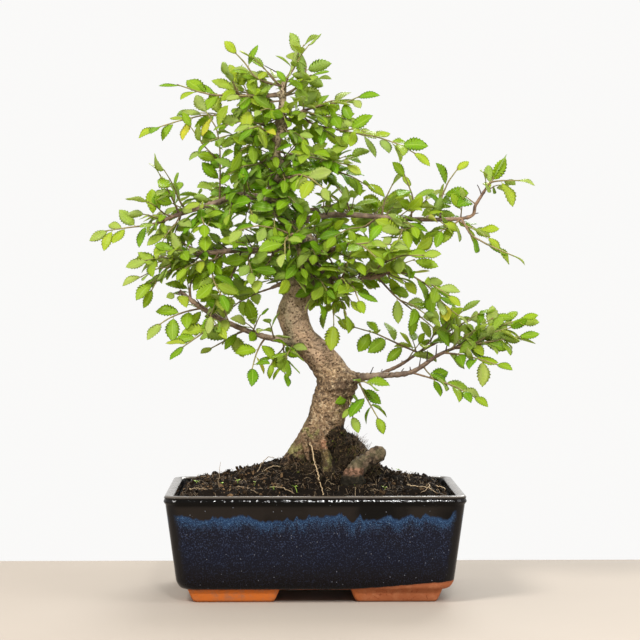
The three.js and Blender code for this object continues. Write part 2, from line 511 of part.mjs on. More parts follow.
// Every leafy shoot: its stem, which starts just off the bark, its side twig and its leaves, fused.
function leafyShoots(wood) {
  const placed = [{ solid: wood, box: wood.boundingBox() }];
  const place = (solid, shoot, stem) => placed.push({ solid, box: solid.boundingBox(), shoot, stem });
  const shoots = Object.entries(SHOOTS).map(([name, stations], shoot) => {
    const points = startOutside(stations.map((p) => new THREE.Vector3(...p)), wood);
    const stem = twig(points);
    if (!isClear(stem, placed.slice(1), shoot)) console.warn(name + ": its stem is not clear");
    place(stem, shoot, true);
    return { name, solids: [stem], twigs: [{ points, bare: 0.16 }] };
  });
  shoots.forEach((made, shoot) => {
    const points = forkOf(made.twigs[0].points);
    if (!points) return;
    const fork = twig(points, 0.25);
    if (!isClear(fork, placed, shoot)) {
      console.warn(made.name + ": no room for its side twig");
      return;
    }
    place(fork, shoot, true);
    made.solids.push(fork);
    made.twigs.push({ points, bare: 0.3 });
  });
  const tally = { leaves: 0, dropped: 0 };
  shoots.forEach(({ solids, twigs }, shoot) => twigs.forEach(({ points, bare }) => {
    const count = Math.max(bare < 0.2 ? 3 : 2, Math.round((lengthOf(points) * (1 - bare)) / LEAF_SPACING));
    for (let leaf = 0; leaf < count; leaf++) {
      let attempt = 0;
      let blade;
      do blade = leafBlade(leafPose(shoot, points, bare, leaf, count, attempt++));
      while (!isClear(blade, placed, shoot) && attempt < LEAF_TRIES);
      if (!isClear(blade, placed, shoot)) {
        tally.dropped++;
        continue;
      }
      tally.leaves++;
      place(blade, shoot, false);
      solids.push(blade);
    }
  }));
  console.log(tally.leaves + " leaves, " + tally.dropped + " left out for lack of room");
  return shoots.map(({ name, solids }) => {
    const bodies = cleaned(union(solids), SHORT_EDGE).decompose();
    if (bodies.length > 1) console.warn(name + ": " + (bodies.length - 1) + " loose");
    return [name, bodies.reduce((a, b) => (a.volume() > b.volume() ? a : b))];
  });
}

const bonsai = new THREE.Group();
const wood = tree();
const woodWithGap = tree(GAP);
bonsai.add(pieceOf("pot", pot(), GLAZE));
bonsai.add(pieceOf("drain_screen_left", drainScreen(-1), PLASTIC));
bonsai.add(pieceOf("drain_screen_right", drainScreen(1), PLASTIC));
bonsai.add(pieceOf("soil", soil(woodWithGap), SOIL));
bonsai.add(pieceOf("trunk_and_boughs", wood, BARK));
leafyShoots(wood).forEach(([name, solid]) => bonsai.add(pieceOf("shoot_" + name, solid, LEAF)));

export default bonsai;
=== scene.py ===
import math

import bmesh
import bpy
import numpy as np
from bpy.props import FloatProperty, FloatVectorProperty, IntProperty, PointerProperty
from mathutils import Euler, Matrix, Vector, kdtree, noise


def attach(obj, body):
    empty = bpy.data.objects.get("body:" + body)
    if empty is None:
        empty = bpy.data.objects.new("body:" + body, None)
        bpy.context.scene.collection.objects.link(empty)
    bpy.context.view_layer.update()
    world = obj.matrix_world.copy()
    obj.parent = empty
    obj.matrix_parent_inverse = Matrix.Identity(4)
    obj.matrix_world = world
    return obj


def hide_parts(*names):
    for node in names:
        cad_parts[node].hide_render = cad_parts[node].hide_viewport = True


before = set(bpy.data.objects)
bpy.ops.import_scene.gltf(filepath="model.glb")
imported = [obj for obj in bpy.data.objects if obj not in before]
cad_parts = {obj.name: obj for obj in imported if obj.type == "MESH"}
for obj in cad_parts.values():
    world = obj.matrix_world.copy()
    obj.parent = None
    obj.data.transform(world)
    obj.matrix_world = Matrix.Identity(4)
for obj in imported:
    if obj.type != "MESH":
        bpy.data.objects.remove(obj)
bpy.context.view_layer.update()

bl_info = {
    "name": "Zelkova bonsai",
    "version": (1, 0, 0),
    "blender": (4, 5, 0),
    "location": "View3D > Sidebar > Bonsai",
    "description": "Dresses a zelkova bonsai: glazed pot, soil, bark, twigs and saw-edged leaves",
    "category": "Add Mesh",
}

MM = 0.001

# Shared with the solids, in millimetres
POT_LENGTH = 200
POT_WIDTH = 146
POT_HEIGHT = 72
FOOT_HEIGHT = 9
WALL = 6.5
FLOOR_TOP = 15
BATTER = 0.26
LIP_DEPTH = 5
LIP_PROUD = 1
CORNER_RADIUS = 10
FOOT_SIZE = (62, 25)
FOOT_SPLAY = 8
FOOT_CENTRE = (54, 46)
DRAIN_RADIUS = 6.5
DRAIN_CENTRE_X = 40
SOIL_EDGE = 66.5
SOIL_SHOULDER = 73
MOUND = (-1, 2, 19, 55, 34)
HEAP = (27, 3, 18, 13, 14)
SOIL_LUMP = 1.1
GAP = 0.35
LEAF_LENGTH = 18
LEAF_FOLD = 0.28
LEAF_SPACING = 6.9
LEAF_MARGIN = 1.4
LEAF_TRIES = 7
TWIG_RADIUS = 0.72
FORK_FROM = 47
FORK_ANGLE = 50
CROWN_MIDDLE = (-16, 4)

# How finely the closed rings are divided: round each corner, along the length and along the width
POT_STEPS = (9, 26, 18)
FOOT_STEPS = (4, 8, 4)
SOIL_STEPS = (5, 74, 52)

# The pot's rounded heel: height above its foot line, and how much narrower it is there in all
HEEL = [(0, 9), (0.25, 6.6), (0.9, 4.6), (2, 2.9), (3.6, 1.4), (6, 0)]

# The rolled lip: height above its underside, and how much narrower it is there than the whole pot
LIP_ROLL = [
    (-0.4, 1.5), (0.2, 0.7), (0.7, 0.15), (1.1, 0), (1.4, 0.12), (1.7, 0.33), (2.1, 0.64),
    (2.5, 0.95), (2.8, 1.1), (3.2, 0.95),
]

# The lip's crest: depth below the pot's top, and how much narrower it is there
LIP_CREST = [(1.3, 0.5), (0.8, 1.0), (0.3, 1.9), (0.03, 3.3)]

# A foot's softened lower edge: height, how much smaller it is than its splay says, and corner radius
FOOT_EDGE = [(0, 2.4, 2), (0.12, 1.4, 2.3), (0.45, 0.5, 2.5), (1, -0.1, 2.5)]
FOOT_LEVELS = (3, 5, 7, 9, 10)
FOOT_CORNER = 2.5

# The crown's dense middle, where leaves get painted shade: centre and radii
CROWN_CORE = ((-24, 2, 262), (78, 55, 82))

# The height from which the trunk itself carries spurs, and sprays of the barer boughs have fellows
CROWN_FOOT = 215

# The start of each random draw
SEEDS = {
    "crumbs": 11, "moss": 41, "rootlets": 23, "seedlings": 77, "boughs": 5, "shoots": 100, "spurs": 400,
}

# The trunk's stations from below the soil to its tip: x, y, z and radius
TRUNK = [
    [2, 0, 56, 17],
    [3, 0, 84, 16],
    [5, 0, 101, 14.4],
    [8, 0, 115, 12.8],
    [12, 1, 130, 12.9],
    [15.5, 2, 141, 13.5],
    [11, 2, 152, 11.3],
    [2, 0, 163, 10.2],
    [-8, -2, 174, 9.8],
    [-13.5, -3, 185, 10.3],
    [-14.3, -3, 194, 10],
    [-9.5, 0, 207, 8.9],
    [-5, 3, 219, 8],
    [-3.8, 5, 230, 7.4],
    [-6, 6, 239, 7],
    [-12, 6, 248, 6.5],
    [-20, 4, 258, 6.2],
    [-26, 2, 267, 6.6],
    [-27, 0, 278, 4.9],
    [-26, -1, 291, 4.3],
    [-27, -1, 303, 4],
    [-25, 0, 315, 3.6],
    [-22, 1, 329, 3],
    [-21, 1, 342, 2.4],
    [-20, 0, 353, 1.5],
]

# Flaring roots, and the thick one that loops out of the soil in front
ROOTS = [
    [[4, -1, 116, 9], [-3, -2, 104, 9], [-10, -3, 95, 8], [-18, -4, 85, 6.8], [-29, -6, 73, 5],
        [-42, -8, 58, 2.6]],
    [[8, -4, 110, 9], [10, -10, 98, 7.6], [12, -15, 88, 6.4], [15, -22, 77, 5.2], [20, -31, 62, 4.6],
        [25, -37, 52, 3]],
    [[10, 0, 112, 9], [19, 2, 100, 8], [29, 3, 89, 6.6], [40, 4, 78, 5], [54, 6, 64, 2.6]],
    [[6, 6, 110, 9], [6, 15, 97, 8], [5, 24, 85, 6.2], [3, 34, 73, 4.4], [0, 46, 60, 2.4]],
    [[0, 5, 106, 9], [-8, 12, 92, 7], [-17, 19, 80, 5], [-28, 27, 66, 2.8]],
    [[17, -29, 60, 4], [25, -36, 66, 7], [25, -36, 78, 7.5], [29, -33.5, 87, 6.2], [36, -30, 92.5, 5.4],
        [42, -28, 96, 5.6]],
]

# Swellings, old pruning scars and the stub on the bend of the looping root: centre and radius
KNOBS = [
    [17, -3, 142, 12.6],
    [-18, -4, 190, 7.6],
    [-27, -1, 266, 7.6],
    [42.5, -28, 96, 5.9],
    [25.3, -40, 78.2, 8.1],
]

# Finer roots that cling to the foot of the trunk
RIDGES = [
    [[-6, -8, 112, 1.2], [-7, -14, 104, 1.9], [-5, -17, 96, 2.0], [-3, -20, 87, 1.7], [-1, -23, 78, 1.2]],
    [[-14, -4, 100, 1.4], [-17, -10, 92, 2.0], [-22, -13, 84, 1.8], [-28, -16, 76, 1.3]],
    [[4, -12, 110, 1.4], [7, -17, 101, 2.0], [9, -20, 93, 2.3], [8, -24, 85, 2.0], [7, -28, 76, 1.3]],
    [[16, -8, 108, 1.3], [19, -13, 99, 1.9], [21, -17, 91, 1.7], [26, -21, 82, 1.2]],
]

# Boughs, each from inside what it grows from: stations of x, y, z and radius
BOUGHS = {
    "right_upper": [[-17, 3, 252, 2.6], [4, -4, 257, 2.1], [25, -7, 258, 1.9], [66, -10, 255, 1.5],
        [104, -13, 256, 1.2], [110, -14, 265, 1.1], [117, -15, 276, 0.9]],
    "right_middle": [[-4, 4, 227, 2.6], [8, -8, 219, 2.2], [22, -18, 213, 1.9], [42, -26, 216, 1.5],
        [51, -31, 220, 1.1]],
    "right_lower": [[14, 2, 144, 4], [30, 0, 146.5, 2.9], [44, -6, 148, 2.2], [66, -10, 150.5, 1.6],
        [84, -13, 162, 1.2], [97, -15, 168, 0.9]],
    "right_lower_fork": [[43, -5, 148, 1.4], [59, 0, 155, 1.1], [73, 3, 164, 0.9], [84, 4, 170, 0.75]],
    "left_lower": [[-8, -2, 172, 3], [-33, -4, 174.5, 2], [-60, -9, 185, 1.7], [-77, -11, 195, 1.7],
        [-92, -12, 206, 1.4]],
    "left_middle": [[-9, 6, 243, 2.6], [-30, 1, 234, 2.2], [-51, -6, 234, 1.9], [-79, -9, 231, 1.6],
        [-92, -10, 228, 1.2]],
    "left_upper": [[-26, 2, 268, 3], [-52, -3, 271.5, 2.2], [-64.5, -5, 267, 1.9],
        [-93, -7, 258, 1.4], [-106, -8, 252.5, 0.9]],
    "top_left": [[-21, 1, 341, 1.7], [-36, -3, 339, 1.3], [-57, -5, 339.5, 0.9]],
    "top_right": [[-25, 0, 312, 2.2], [-16.5, -3, 322, 1.7], [-6, -6, 330, 1.1]],
    "right_inner": [[-25, 2, 268, 2.6], [-12.5, -4, 280, 1.8], [0.5, -8, 287, 1.1]],
    "front_low": [[-6, 6, 238, 2.6], [-10, -14, 242, 1.8], [-15, -34, 244, 1.2]],
    "front_right": [[-3, 4, 229, 2.4], [9, -14, 233, 1.6], [17, -30, 236, 1.2]],
    "front_high": [[-25, 1, 272, 2.4], [-21, -16, 281, 1.5], [-16, -29, 283, 1.1]],
    "back_low": [[-6, 6, 236, 2.8], [0, 26, 242, 2], [5, 42, 245, 1.4]],
    "back_left": [[-22, 4, 262, 2.8], [-33, 22, 270, 1.9], [-42, 36, 273, 1.3]],
    "back_high": [[-26, 0, 290, 2.2], [-20, 18, 298, 1.5], [-15, 31, 301, 1.1]],
    "back_lower_left": [[-5, 4, 220, 2.4], [-18, 20, 213, 1.7], [-29, 34, 208, 1.2]],
    "back_right": [[-19, 4, 257, 2.6], [0, 22, 262, 1.8], [20, 37, 266, 1.3]],
}

# Leafy shoots of the solids: where each starts, and the points that it passes
SHOOTS = {
    "right_upper_tip": [[116, -14.9, 274.5], [119, -16, 280], [127, -18, 281], [138, -20, 281]],
    "right_upper_rise_a": [[25, -7, 258], [22, -14, 268], [16, -19, 276]],
    "right_upper_rise_b": [[46, -8.6, 256.5], [48, -2, 267], [54, 6, 279]],
    "right_upper_rise_c": [[66, -10, 255], [67, -17, 270], [61, -24, 284]],
    "right_upper_rise_d": [[86, -11.6, 255.6], [87, -8, 270], [92, -4, 281], [98, -1, 289]],
    "right_upper_drop_a": [[56, -9.3, 255.7], [60, -19, 248], [56, -30, 240]],
    "right_upper_drop_b": [[100, -12.8, 256], [106, -18, 244], [118, -23, 237], [134, -26, 230]],
    "right_upper_behind_a": [[38, -8, 257], [45, 12, 262], [50, 32, 262]],
    "right_upper_behind_b": [[75, -10.8, 255.3], [84, 8, 260], [92, 27, 259]],
    "right_middle_tip_a": [[50, -30.5, 219.6], [63, -33, 218], [76, -34, 210], [85, -34, 199],
        [96, -35, 190]],
    "right_middle_tip_b": [[42, -26, 216], [54, -26, 203], [69, -24, 191], [82, -22, 180]],
    "right_middle_over": [[34, -22.8, 214.8], [46, -37, 225], [58, -47, 230], [71, -54, 230]],
    "right_middle_front": [[22, -18, 213], [26, -34, 209], [29, -50, 200]],
    "right_middle_rise": [[13, -11.8, 217], [12, -22, 226], [5, -34, 233]],
    "right_lower_tip": [[96, -14.8, 167.5], [108, -17, 170], [122, -18, 172], [139, -20, 175]],
    "right_lower_fork_tip": [[83, 3.9, 169.5], [92, 8, 177], [102, 13, 183], [111, 18, 186]],
    "right_lower_side": [[88, -13.7, 164], [100, -24, 163], [112, -33, 160], [122, -42, 157]],
    "right_lower_drop": [[66, -10, 150.5], [82, -15, 146], [95, -20, 141.5], [109, -24, 134]],
    "right_lower_return": [[72, 2.7, 163.3], [59, 4, 169], [42, 2, 177], [28, -2, 181]],
    "right_lower_near": [[30, 0, 146], [34, -9, 136], [39, -14, 127], [43, -18, 120]],
    "left_lower_rise": [[-84, -11.5, 200], [-85, -6, 210], [-80, 0, 219]],
    "left_lower_out": [[-76, -10.8, 194.5], [-88, -16, 192], [-98, -20, 188], [-104, -24, 184]],
    "left_lower_drop_a": [[-60, -9, 185], [-69, -20, 182], [-78, -29, 176], [-88, -36, 169]],
    "left_lower_drop_b": [[-46, -6.4, 179.5], [-54, 6, 176], [-62, 16, 171], [-71, 25, 166]],
    "left_lower_inner": [[-33, -4, 174.5], [-37, -14, 169], [-40, -24, 162], [-42, -32, 154]],
    "left_middle_tip": [[-91, -9.9, 228.2], [-99, -13, 223], [-106, -16, 215], [-110, -18, 207]],
    "left_middle_out": [[-78, -8.9, 231], [-88, -2, 238], [-98, 5, 243]],
    "left_middle_hang": [[-65, -7.5, 232.5], [-70, -18, 223], [-68, -28, 213], [-63, -36, 204]],
    "left_middle_front": [[-42, -3.1, 234], [-45, -19, 228], [-42, -36, 219]],
    "left_middle_behind": [[-58, -6.7, 233.3], [-64, 12, 238], [-71, 32, 238]],
    "left_upper_tip": [[-105, -7.9, 253], [-116, -9, 250.5], [-128, -11, 249], [-141, -12, 247]],
    "left_upper_rise": [[-92, -6.9, 258.5], [-96, -12, 268], [-100, -17, 276], [-104, -21, 284]],
    "left_upper_front": [[-76, -5.8, 263.5], [-77, -21, 258], [-74, -37, 251]],
    "left_upper_tall": [[-64.5, -5, 267], [-64, -9, 285], [-64, -13, 303], [-66, -17, 316],
        [-73, -20, 327]],
    "left_upper_behind": [[-70, -5.3, 265.4], [-78, 14, 271], [-87, 34, 273]],
    "left_upper_inner": [[-45, -1.6, 270.6], [-46, -18, 267], [-42, -34, 258]],
    "upper_left_long": [[-25, 0, 314], [-36, -3, 320], [-56, -6, 325], [-75, -7, 326], [-92, -7, 322],
        [-108, -7, 317]],
    "top_left_tip": [[-56, -4.9, 339.5], [-69, -6, 339.5], [-80, -8, 342], [-92, -10, 346]],
    "top_left_crest": [[-21, 0.7, 346], [-33, -6, 348], [-41, -9, 352], [-47, -12, 361], [-53, -14, 367]],
    "top_left_back": [[-40, -3.4, 339], [-47, 12, 343], [-55, 27, 344]],
    "top_right_crest": [[-21, 1, 340], [-11, 4, 346], [-6, 5, 353], [-5, 4, 362], [-9, 2, 369]],
    "top_right_tip": [[-7, -5.7, 329], [10, -8, 334], [21, -10, 334], [30, -12, 338]],
    "upper_right_long": [[-13, -4, 324.8], [4, -12, 318], [22, -18, 314], [43, -23, 310], [57, -27, 305],
        [67, -30, 299]],
    "right_inner_tip": [[0, -7.8, 286.6], [14, -9, 288], [26, -9, 284], [36, -8, 278]],
    "upper_right_low": [[-27, -1, 302], [-15, -10, 299], [-3, -18, 297], [10, -25, 294], [22, -32, 291]],
    "front_low_tip": [[-15, -33, 244], [-18, -47, 243], [-20, -61, 239], [-20, -74, 231]],
    "front_low_left": [[-12, -22, 242.8], [-25, -32, 248], [-38, -42, 250], [-49, -51, 247]],
    "front_right_tip": [[17, -29, 236], [24, -43, 238], [32, -58, 236], [39, -71, 229]],
    "front_high_tip": [[-16.3, -28, 283], [-10, -42, 284], [-3, -55, 281], [5, -66, 274]],
    "front_upper": [[-26, -1, 306], [-32, -16, 314], [-38, -32, 317], [-44, -46, 314]],
    "back_low_tip": [[5, 41, 245], [9, 54, 245], [11, 66, 241], [9, 77, 234]],
    "back_left_tip": [[-41.5, 35.5, 273], [-51, 50, 274], [-60, 63, 270], [-68, 73, 263]],
    "back_high_tip": [[-15.2, 30.5, 300.9], [-7, 43, 301], [2, 54, 297], [10, 63, 290]],
    "back_lower_left_tip": [[-28.5, 33.5, 208], [-40, 46, 204], [-52, 57, 198], [-62, 66, 190]],
    "back_right_tip": [[19.5, 36.5, 266], [35, 46, 266], [50, 55, 263], [63, 62, 256]],
}

# Longer leafy side twigs that fill the crown, by the limb that carries them: the share of it where each
# starts, and its tip
SPRAYS = {
    "left_upper": [
        (0.86, (-112, -20, 266)), (0.74, (-101, -22, 287)), (0.60, (-76, -34, 265)),
        (0.80, (-103, -22, 239)), (0.50, (-73, -36, 245)), (0.34, (-57, -38, 258)),
        (0.25, (-48, -30, 284)), (0.22, (-43, -28, 254)), (0.93, (-115, -16, 258)),
    ],
    "left_middle": [
        (0.86, (-113, -20, 227)), (0.72, (-99, -32, 233)), (0.60, (-86, -34, 222)),
        (0.34, (-52, -40, 239)), (0.50, (-70, -28, 190)), (0.22, (-38, -34, 214)),
        (0.80, (-110, -20, 212)), (0.90, (-117, -14, 216)),
    ],
    "left_lower": [
        (0.10, (-29, -20, 157)), (0.06, (-19, -26, 161)), (0.38, (-37, -16, 189)),
        (0.55, (-63, -22, 199)), (0.30, (-46, -14, 184)), (0.75, (-66, -26, 183)),
        (0.20, (-30, -24, 184)), (0.14, (-20, -24, 151)),
    ],
    "upper_trunk": [
        (0.93, (-17, -18, 352)), (0.88, (-50, -20, 338)), (0.83, (-20, -24, 322)),
        (0.80, (-59, -24, 318)), (0.76, (-8, -27, 309)), (0.72, (-49, -28, 301)),
        (0.67, (-27, -28, 297)), (0.62, (-57, -27, 285)), (0.58, (-20, -30, 281)),
        (0.50, (-34, -32, 273)), (0.40, (-27, -36, 250)), (0.30, (-17, -36, 235)),
        (0.22, (-9, -35, 222)), (0.14, (0, -38, 231)), (0.06, (-17, -34, 214)), (0.03, (8, -30, 207)),
        (0.74, (-70, -18, 308)), (0.02, (2, -26, 199)), (0.90, (-3, -16, 352)), (0.97, (-4, -8, 373)),
        (0.94, (-41, -10, 364)), (0.45, (-14, -34, 266)), (0.82, (-1, -22, 326)),
        (0.85, (-36, -22, 328)),
    ],
    "right_inner": [
        (0.70, (8, -30, 296)), (0.90, (25, -24, 296)),
    ],
    "right_middle": [
        (0.34, (13, -26, 184)), (0.30, (21, -30, 191)), (0.46, (24, -46, 232)), (0.62, (37, -43, 221)),
        (0.40, (19, -42, 214)), (0.75, (47, -40, 228)), (0.95, (60, -36, 213)), (0.85, (66, -34, 227)),
        (0.28, (24, -38, 200)),
    ],
    "right_upper": [
        (0.42, (14, -36, 243)), (0.62, (52, -26, 243)), (0.80, (81, -23, 243)), (1.00, (121, -17, 282)),
        (0.50, (66, -28, 250)), (0.78, (118, -16, 243)), (0.30, (11, -30, 270)),
    ],
    "right_lower": [
        (0.98, (139, -8, 186)), (0.93, (121, -10, 187)), (0.85, (108, -22, 179)),
        (0.96, (133, -16, 175)), (0.97, (141, -14, 187)), (0.12, (37, -22, 143)),
        (1.00, (132, -22, 181)), (0.08, (26, -16, 121)), (0.70, (81, -20, 146)),
    ],
    "right_lower_fork": [
        (0.90, (101, 0, 191)), (0.66, (90, -6, 184)), (0.95, (112, -8, 190)),
    ],
    "top_right": [
        (1.00, (11, -12, 335)), (0.80, (13, -16, 311)), (0.90, (24, -14, 322)),
    ],
    "top_left": [
        (0.80, (-57, -16, 352)), (0.50, (-45, -18, 329)),
    ],
    "front_right": [
        (0.80, (27, -40, 226)),
    ],
}

# How much of a bough stays all but bare of spurs, from where it starts
BARE_SHARE = {"right_lower": 0.66, "right_lower_fork": 0.5, "left_lower": 0.5, "left_middle": 0.2}


def lerp(a, b, share):
    """The value a share of the way from a to b."""
    return a + (b - a) * share


def smoothstep(value, low, high):
    """0 below low, 1 above high and a smooth rise between them, for arrays too."""
    share = np.clip((np.asarray(value, float) - low) / (high - low), 0, 1)
    return share * share * (3 - 2 * share)


class Form:
    """Gathers the points and faces of the many small forms that make up one piece."""

    def __init__(self):
        self.points = []
        self.faces = []
        self.finishes = []
        self.values = {}
        self.count = 0

    def add(self, points, faces, finish=0, **values):
        """Adds points in millimetres, groups of faces, and values that each point carries."""
        points = np.asarray(points, float)
        for rows in faces:
            rows = np.asarray(rows, int)
            if len(rows):
                self.faces.append(rows + self.count)
                self.finishes.append(np.full(len(rows), finish))
        self.points.append(points)
        for name, value in values.items():
            rows = np.broadcast_to(np.asarray(value, float), (len(points), 3))
            self.values.setdefault(name, []).append(rows)
        self.count += len(points)

    def mesh(self, name):
        """The gathered forms as one mesh, in metres."""
        made = bpy.data.meshes.new(name)
        faces = [row for rows in self.faces for row in rows.tolist()]
        made.from_pydata((np.vstack(self.points) * MM).tolist(), [], faces)
        return made

    def piece(self, name, materials, slot, replaces=(), smooth=True):
        """Makes the gathered forms one mesh piece that rides on the root body."""
        mesh = self.mesh(name)
        mesh.polygons.foreach_set("material_index", np.concatenate(self.finishes).astype(np.int32))
        mesh.polygons.foreach_set("use_smooth", np.full(len(mesh.polygons), smooth))
        for key, rows in self.values.items():
            layer = mesh.attributes.new(key, "FLOAT_VECTOR", "POINT")
            layer.data.foreach_set("vector", np.vstack(rows).astype(np.float32).ravel())
        mesh.update()
        return placed(mesh, name, materials, replaces)


def in_scene(name, data):
    """A new object in the scene that holds the data."""
    made = bpy.data.objects.new(name, data)
    bpy.context.scene.collection.objects.link(made)
    return made


def placed(mesh, name, materials, replaces=()):
    """Puts a mesh in the scene as a piece on the root body, with its finish and the nodes it stands for."""
    piece = in_scene(name, mesh)
    for material in materials:
        mesh.materials.append(material)
    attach(piece, "root")
    if replaces:
        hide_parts(*replaces)
    return piece


def applied(piece):
    """A new mesh of the piece as its modifiers leave it."""
    return bpy.data.meshes.new_from_object(piece.evaluated_get(bpy.context.evaluated_depsgraph_get()))


def of_vertices(mesh, key):
    """A place or a direction of each of the mesh's vertices, in rows."""
    rows = np.empty(len(mesh.vertices) * 3)
    mesh.vertices.foreach_get(key, rows)
    return rows.reshape(-1, 3)


class Recipe:
    """Short calls that add and join the nodes of one material."""

    def __init__(self, name):
        self.material = bpy.data.materials.new(name)
        self.material.use_nodes = True
        self.tree = self.material.node_tree
        self.surface = self.tree.nodes["Principled BSDF"]
        self.place = self.node("ShaderNodeTexCoord").outputs["Object"]
        split = self.node("ShaderNodeSeparateXYZ", {0: self.place})
        self.x, self.y, self.z = split.outputs

    def feed(self, socket, value):
        """Links a socket to another, or sets it to a plain value."""
        if isinstance(value, bpy.types.NodeSocket):
            self.tree.links.new(value, socket)
        else:
            socket.default_value = value

    def node(self, kind, inputs=None, **settings):
        """A new node with its inputs fed and its settings made."""
        made = self.tree.nodes.new(kind)
        for key, value in settings.items():
            setattr(made, key, value)
        for key, value in (inputs or {}).items():
            self.feed(made.inputs[key], value)
        return made

    def set(self, **inputs):
        """Feeds the surface shader's inputs, whose names have underscores here."""
        for key, value in inputs.items():
            self.feed(self.surface.inputs[key.replace("_", " ")], value)

    def math(self, operation, a, b=0.0):
        return self.node("ShaderNodeMath", {0: a, 1: b}, operation=operation).outputs[0]

    def plus(self, a, b):
        return self.math("ADD", a, b)

    def minus(self, a, b):
        return self.math("SUBTRACT", a, b)

    def times(self, a, b):
        return self.math("MULTIPLY", a, b)

    def mix(self, share, a, b):
        """A colour between a and b, nearer b as the share goes from 0 to 1."""
        made = self.node("ShaderNodeMix", data_type="RGBA")
        for socket, value in ((made.inputs[0], share), (made.inputs[6], a), (made.inputs[7], b)):
            self.feed(socket, (*value, 1) if isinstance(value, tuple) else value)
        return made.outputs[2]

    def level(self, share, a, b):
        """A plain number between a and b, carried as a grey."""
        return self.mix(share, (a,) * 3, (b,) * 3)

    def rise(self, value, low, high, start=0.0, end=1.0):
        """A smooth step from start to end as the value goes from low to high."""
        made = self.node(
            "ShaderNodeMapRange",
            {"Value": value, "From Min": low, "From Max": high, "To Min": start, "To Max": end},
            interpolation_type="SMOOTHSTEP",
        )
        return made.outputs[0]

    def along_x(self, low, high, start=0.0, end=1.0):
        """A smooth step between two places on the x axis, in millimetres."""
        return self.rise(self.x, low * MM, high * MM, start, end)

    def along_y(self, low, high, start=0.0, end=1.0):
        """A smooth step between two places on the y axis, in millimetres."""
        return self.rise(self.y, low * MM, high * MM, start, end)

    def along_z(self, low, high, start=0.0, end=1.0):
        """A smooth step between two heights, in millimetres."""
        return self.rise(self.z, low * MM, high * MM, start, end)

    def stretched(self, vector, stretch):
        """The vector with its axes scaled, if asked."""
        if not stretch:
            return vector
        return self.node("ShaderNodeMapping", {"Vector": vector, "Scale": stretch}).outputs[0]

    def noise(self, scale, detail=3.0, roughness=0.55, stretch=None, vector=None, distortion=0.0):
        """Noise from 0 to 1 with lumps about 1/scale metres wide, stretched along the axes if asked."""
        inputs = {"Vector": self.stretched(vector or self.place, stretch), "Scale": scale, "Detail": detail}
        inputs.update({"Roughness": roughness, "Distortion": distortion})
        return self.node("ShaderNodeTexNoise", inputs).outputs[0]

    def uneven(self, scale, detail=3.0, roughness=0.55, vector=None):
        """Noise about 0, from -0.5 to 0.5."""
        return self.minus(self.noise(scale, detail, roughness, vector=vector), 0.5)

    def spots(self, scale, size, soft=0.5, stretch=None, randomness=1.0):
        """Round spots: 1 in the middle of each cell, 0 beyond its size, which is a share of the cell."""
        inputs = {"Vector": self.stretched(self.place, stretch), "Scale": scale, "Randomness": randomness}
        cells = self.node("ShaderNodeTexVoronoi", inputs)
        return self.rise(cells.outputs["Distance"], size * (1 - soft), size, 1.0, 0.0)

    def value(self, name):
        """The three parts of a value that the mesh's points carry."""
        carried = self.node("ShaderNodeAttribute", attribute_name=name, attribute_type="GEOMETRY")
        return self.node("ShaderNodeSeparateXYZ", {0: carried.outputs["Vector"]}).outputs

    def bump(self, height, depth, strength):
        """Relief of a depth in millimetres in the surface's normal."""
        made = self.node("ShaderNodeBump", {"Height": height, "Strength": strength, "Distance": depth * MM})
        self.feed(self.surface.inputs["Normal"], made.outputs[0])
        return made.outputs[0]


def unit(vectors):
    """Vectors made one long, in rows."""
    vectors = np.asarray(vectors, float)
    return vectors / np.maximum(np.linalg.norm(vectors, axis=-1, keepdims=True), 1e-9)


def curve_through(stations, step):
    """A smooth curve through stations of any width, with points about a step apart."""
    rows = np.asarray(stations, float)
    padded = np.vstack([2 * rows[0] - rows[1], rows, 2 * rows[-1] - rows[-2]])
    line = []
    for i in range(len(rows) - 1):
        a, b, c, d = padded[i : i + 4]
        count = max(1, int(round(np.linalg.norm((c - b)[:3]) / step)))
        for t in np.arange(count) / count:
            square, cube = 2 * a - 5 * b + 4 * c - d, 3 * b - a - 3 * c + d
            line.append(0.5 * (2 * b + (c - a) * t + square * t * t + cube * t ** 3))
    line.append(rows[-1])
    return np.array(line)


def run_of(line):
    """How far along a line each of its points lies."""
    return np.concatenate([[0], np.cumsum(np.linalg.norm(np.diff(line, axis=0), axis=1))])


def skin_faces(count, sides):
    """Faces over a row of rings of as many points each, with a centre point at both ends."""
    column = np.arange(sides)
    following = (column + 1) % sides
    quads = []
    for k in range(count - 1):
        here, there = k * sides, (k + 1) * sides
        quads.append(np.stack([here + column, here + following, there + following, there + column], 1))
    end = (count - 1) * sides
    first, last = np.full(sides, count * sides), np.full(sides, count * sides + 1)
    caps = [np.stack([following, column, first], 1), np.stack([end + column, end + following, last], 1)]
    return [np.vstack(quads), np.vstack(caps)]


def tube(centres, radii, sides):
    """A closed round tube along a line: its points ring by ring, then its two ends, and its faces."""
    centres = np.asarray(centres, float)
    radii = np.broadcast_to(np.asarray(radii, float), (len(centres),))
    tangents = unit(np.gradient(centres, axis=0))
    normal = np.cross(tangents[0], (0, 0, 1) if abs(tangents[0][2]) < 0.9 else (1, 0, 0))
    turns = 2 * math.pi * np.arange(sides) / sides
    rings = []
    for centre, tangent, radius in zip(centres, tangents, radii):
        normal = unit(normal - tangent * np.dot(normal, tangent))
        binormal = np.cross(tangent, normal)
        around = np.outer(np.cos(turns), normal) + np.outer(np.sin(turns), binormal)
        rings.append(centre + radius * around)
    return np.vstack([*rings, centres[:1], centres[-1:]]), skin_faces(len(centres), sides)


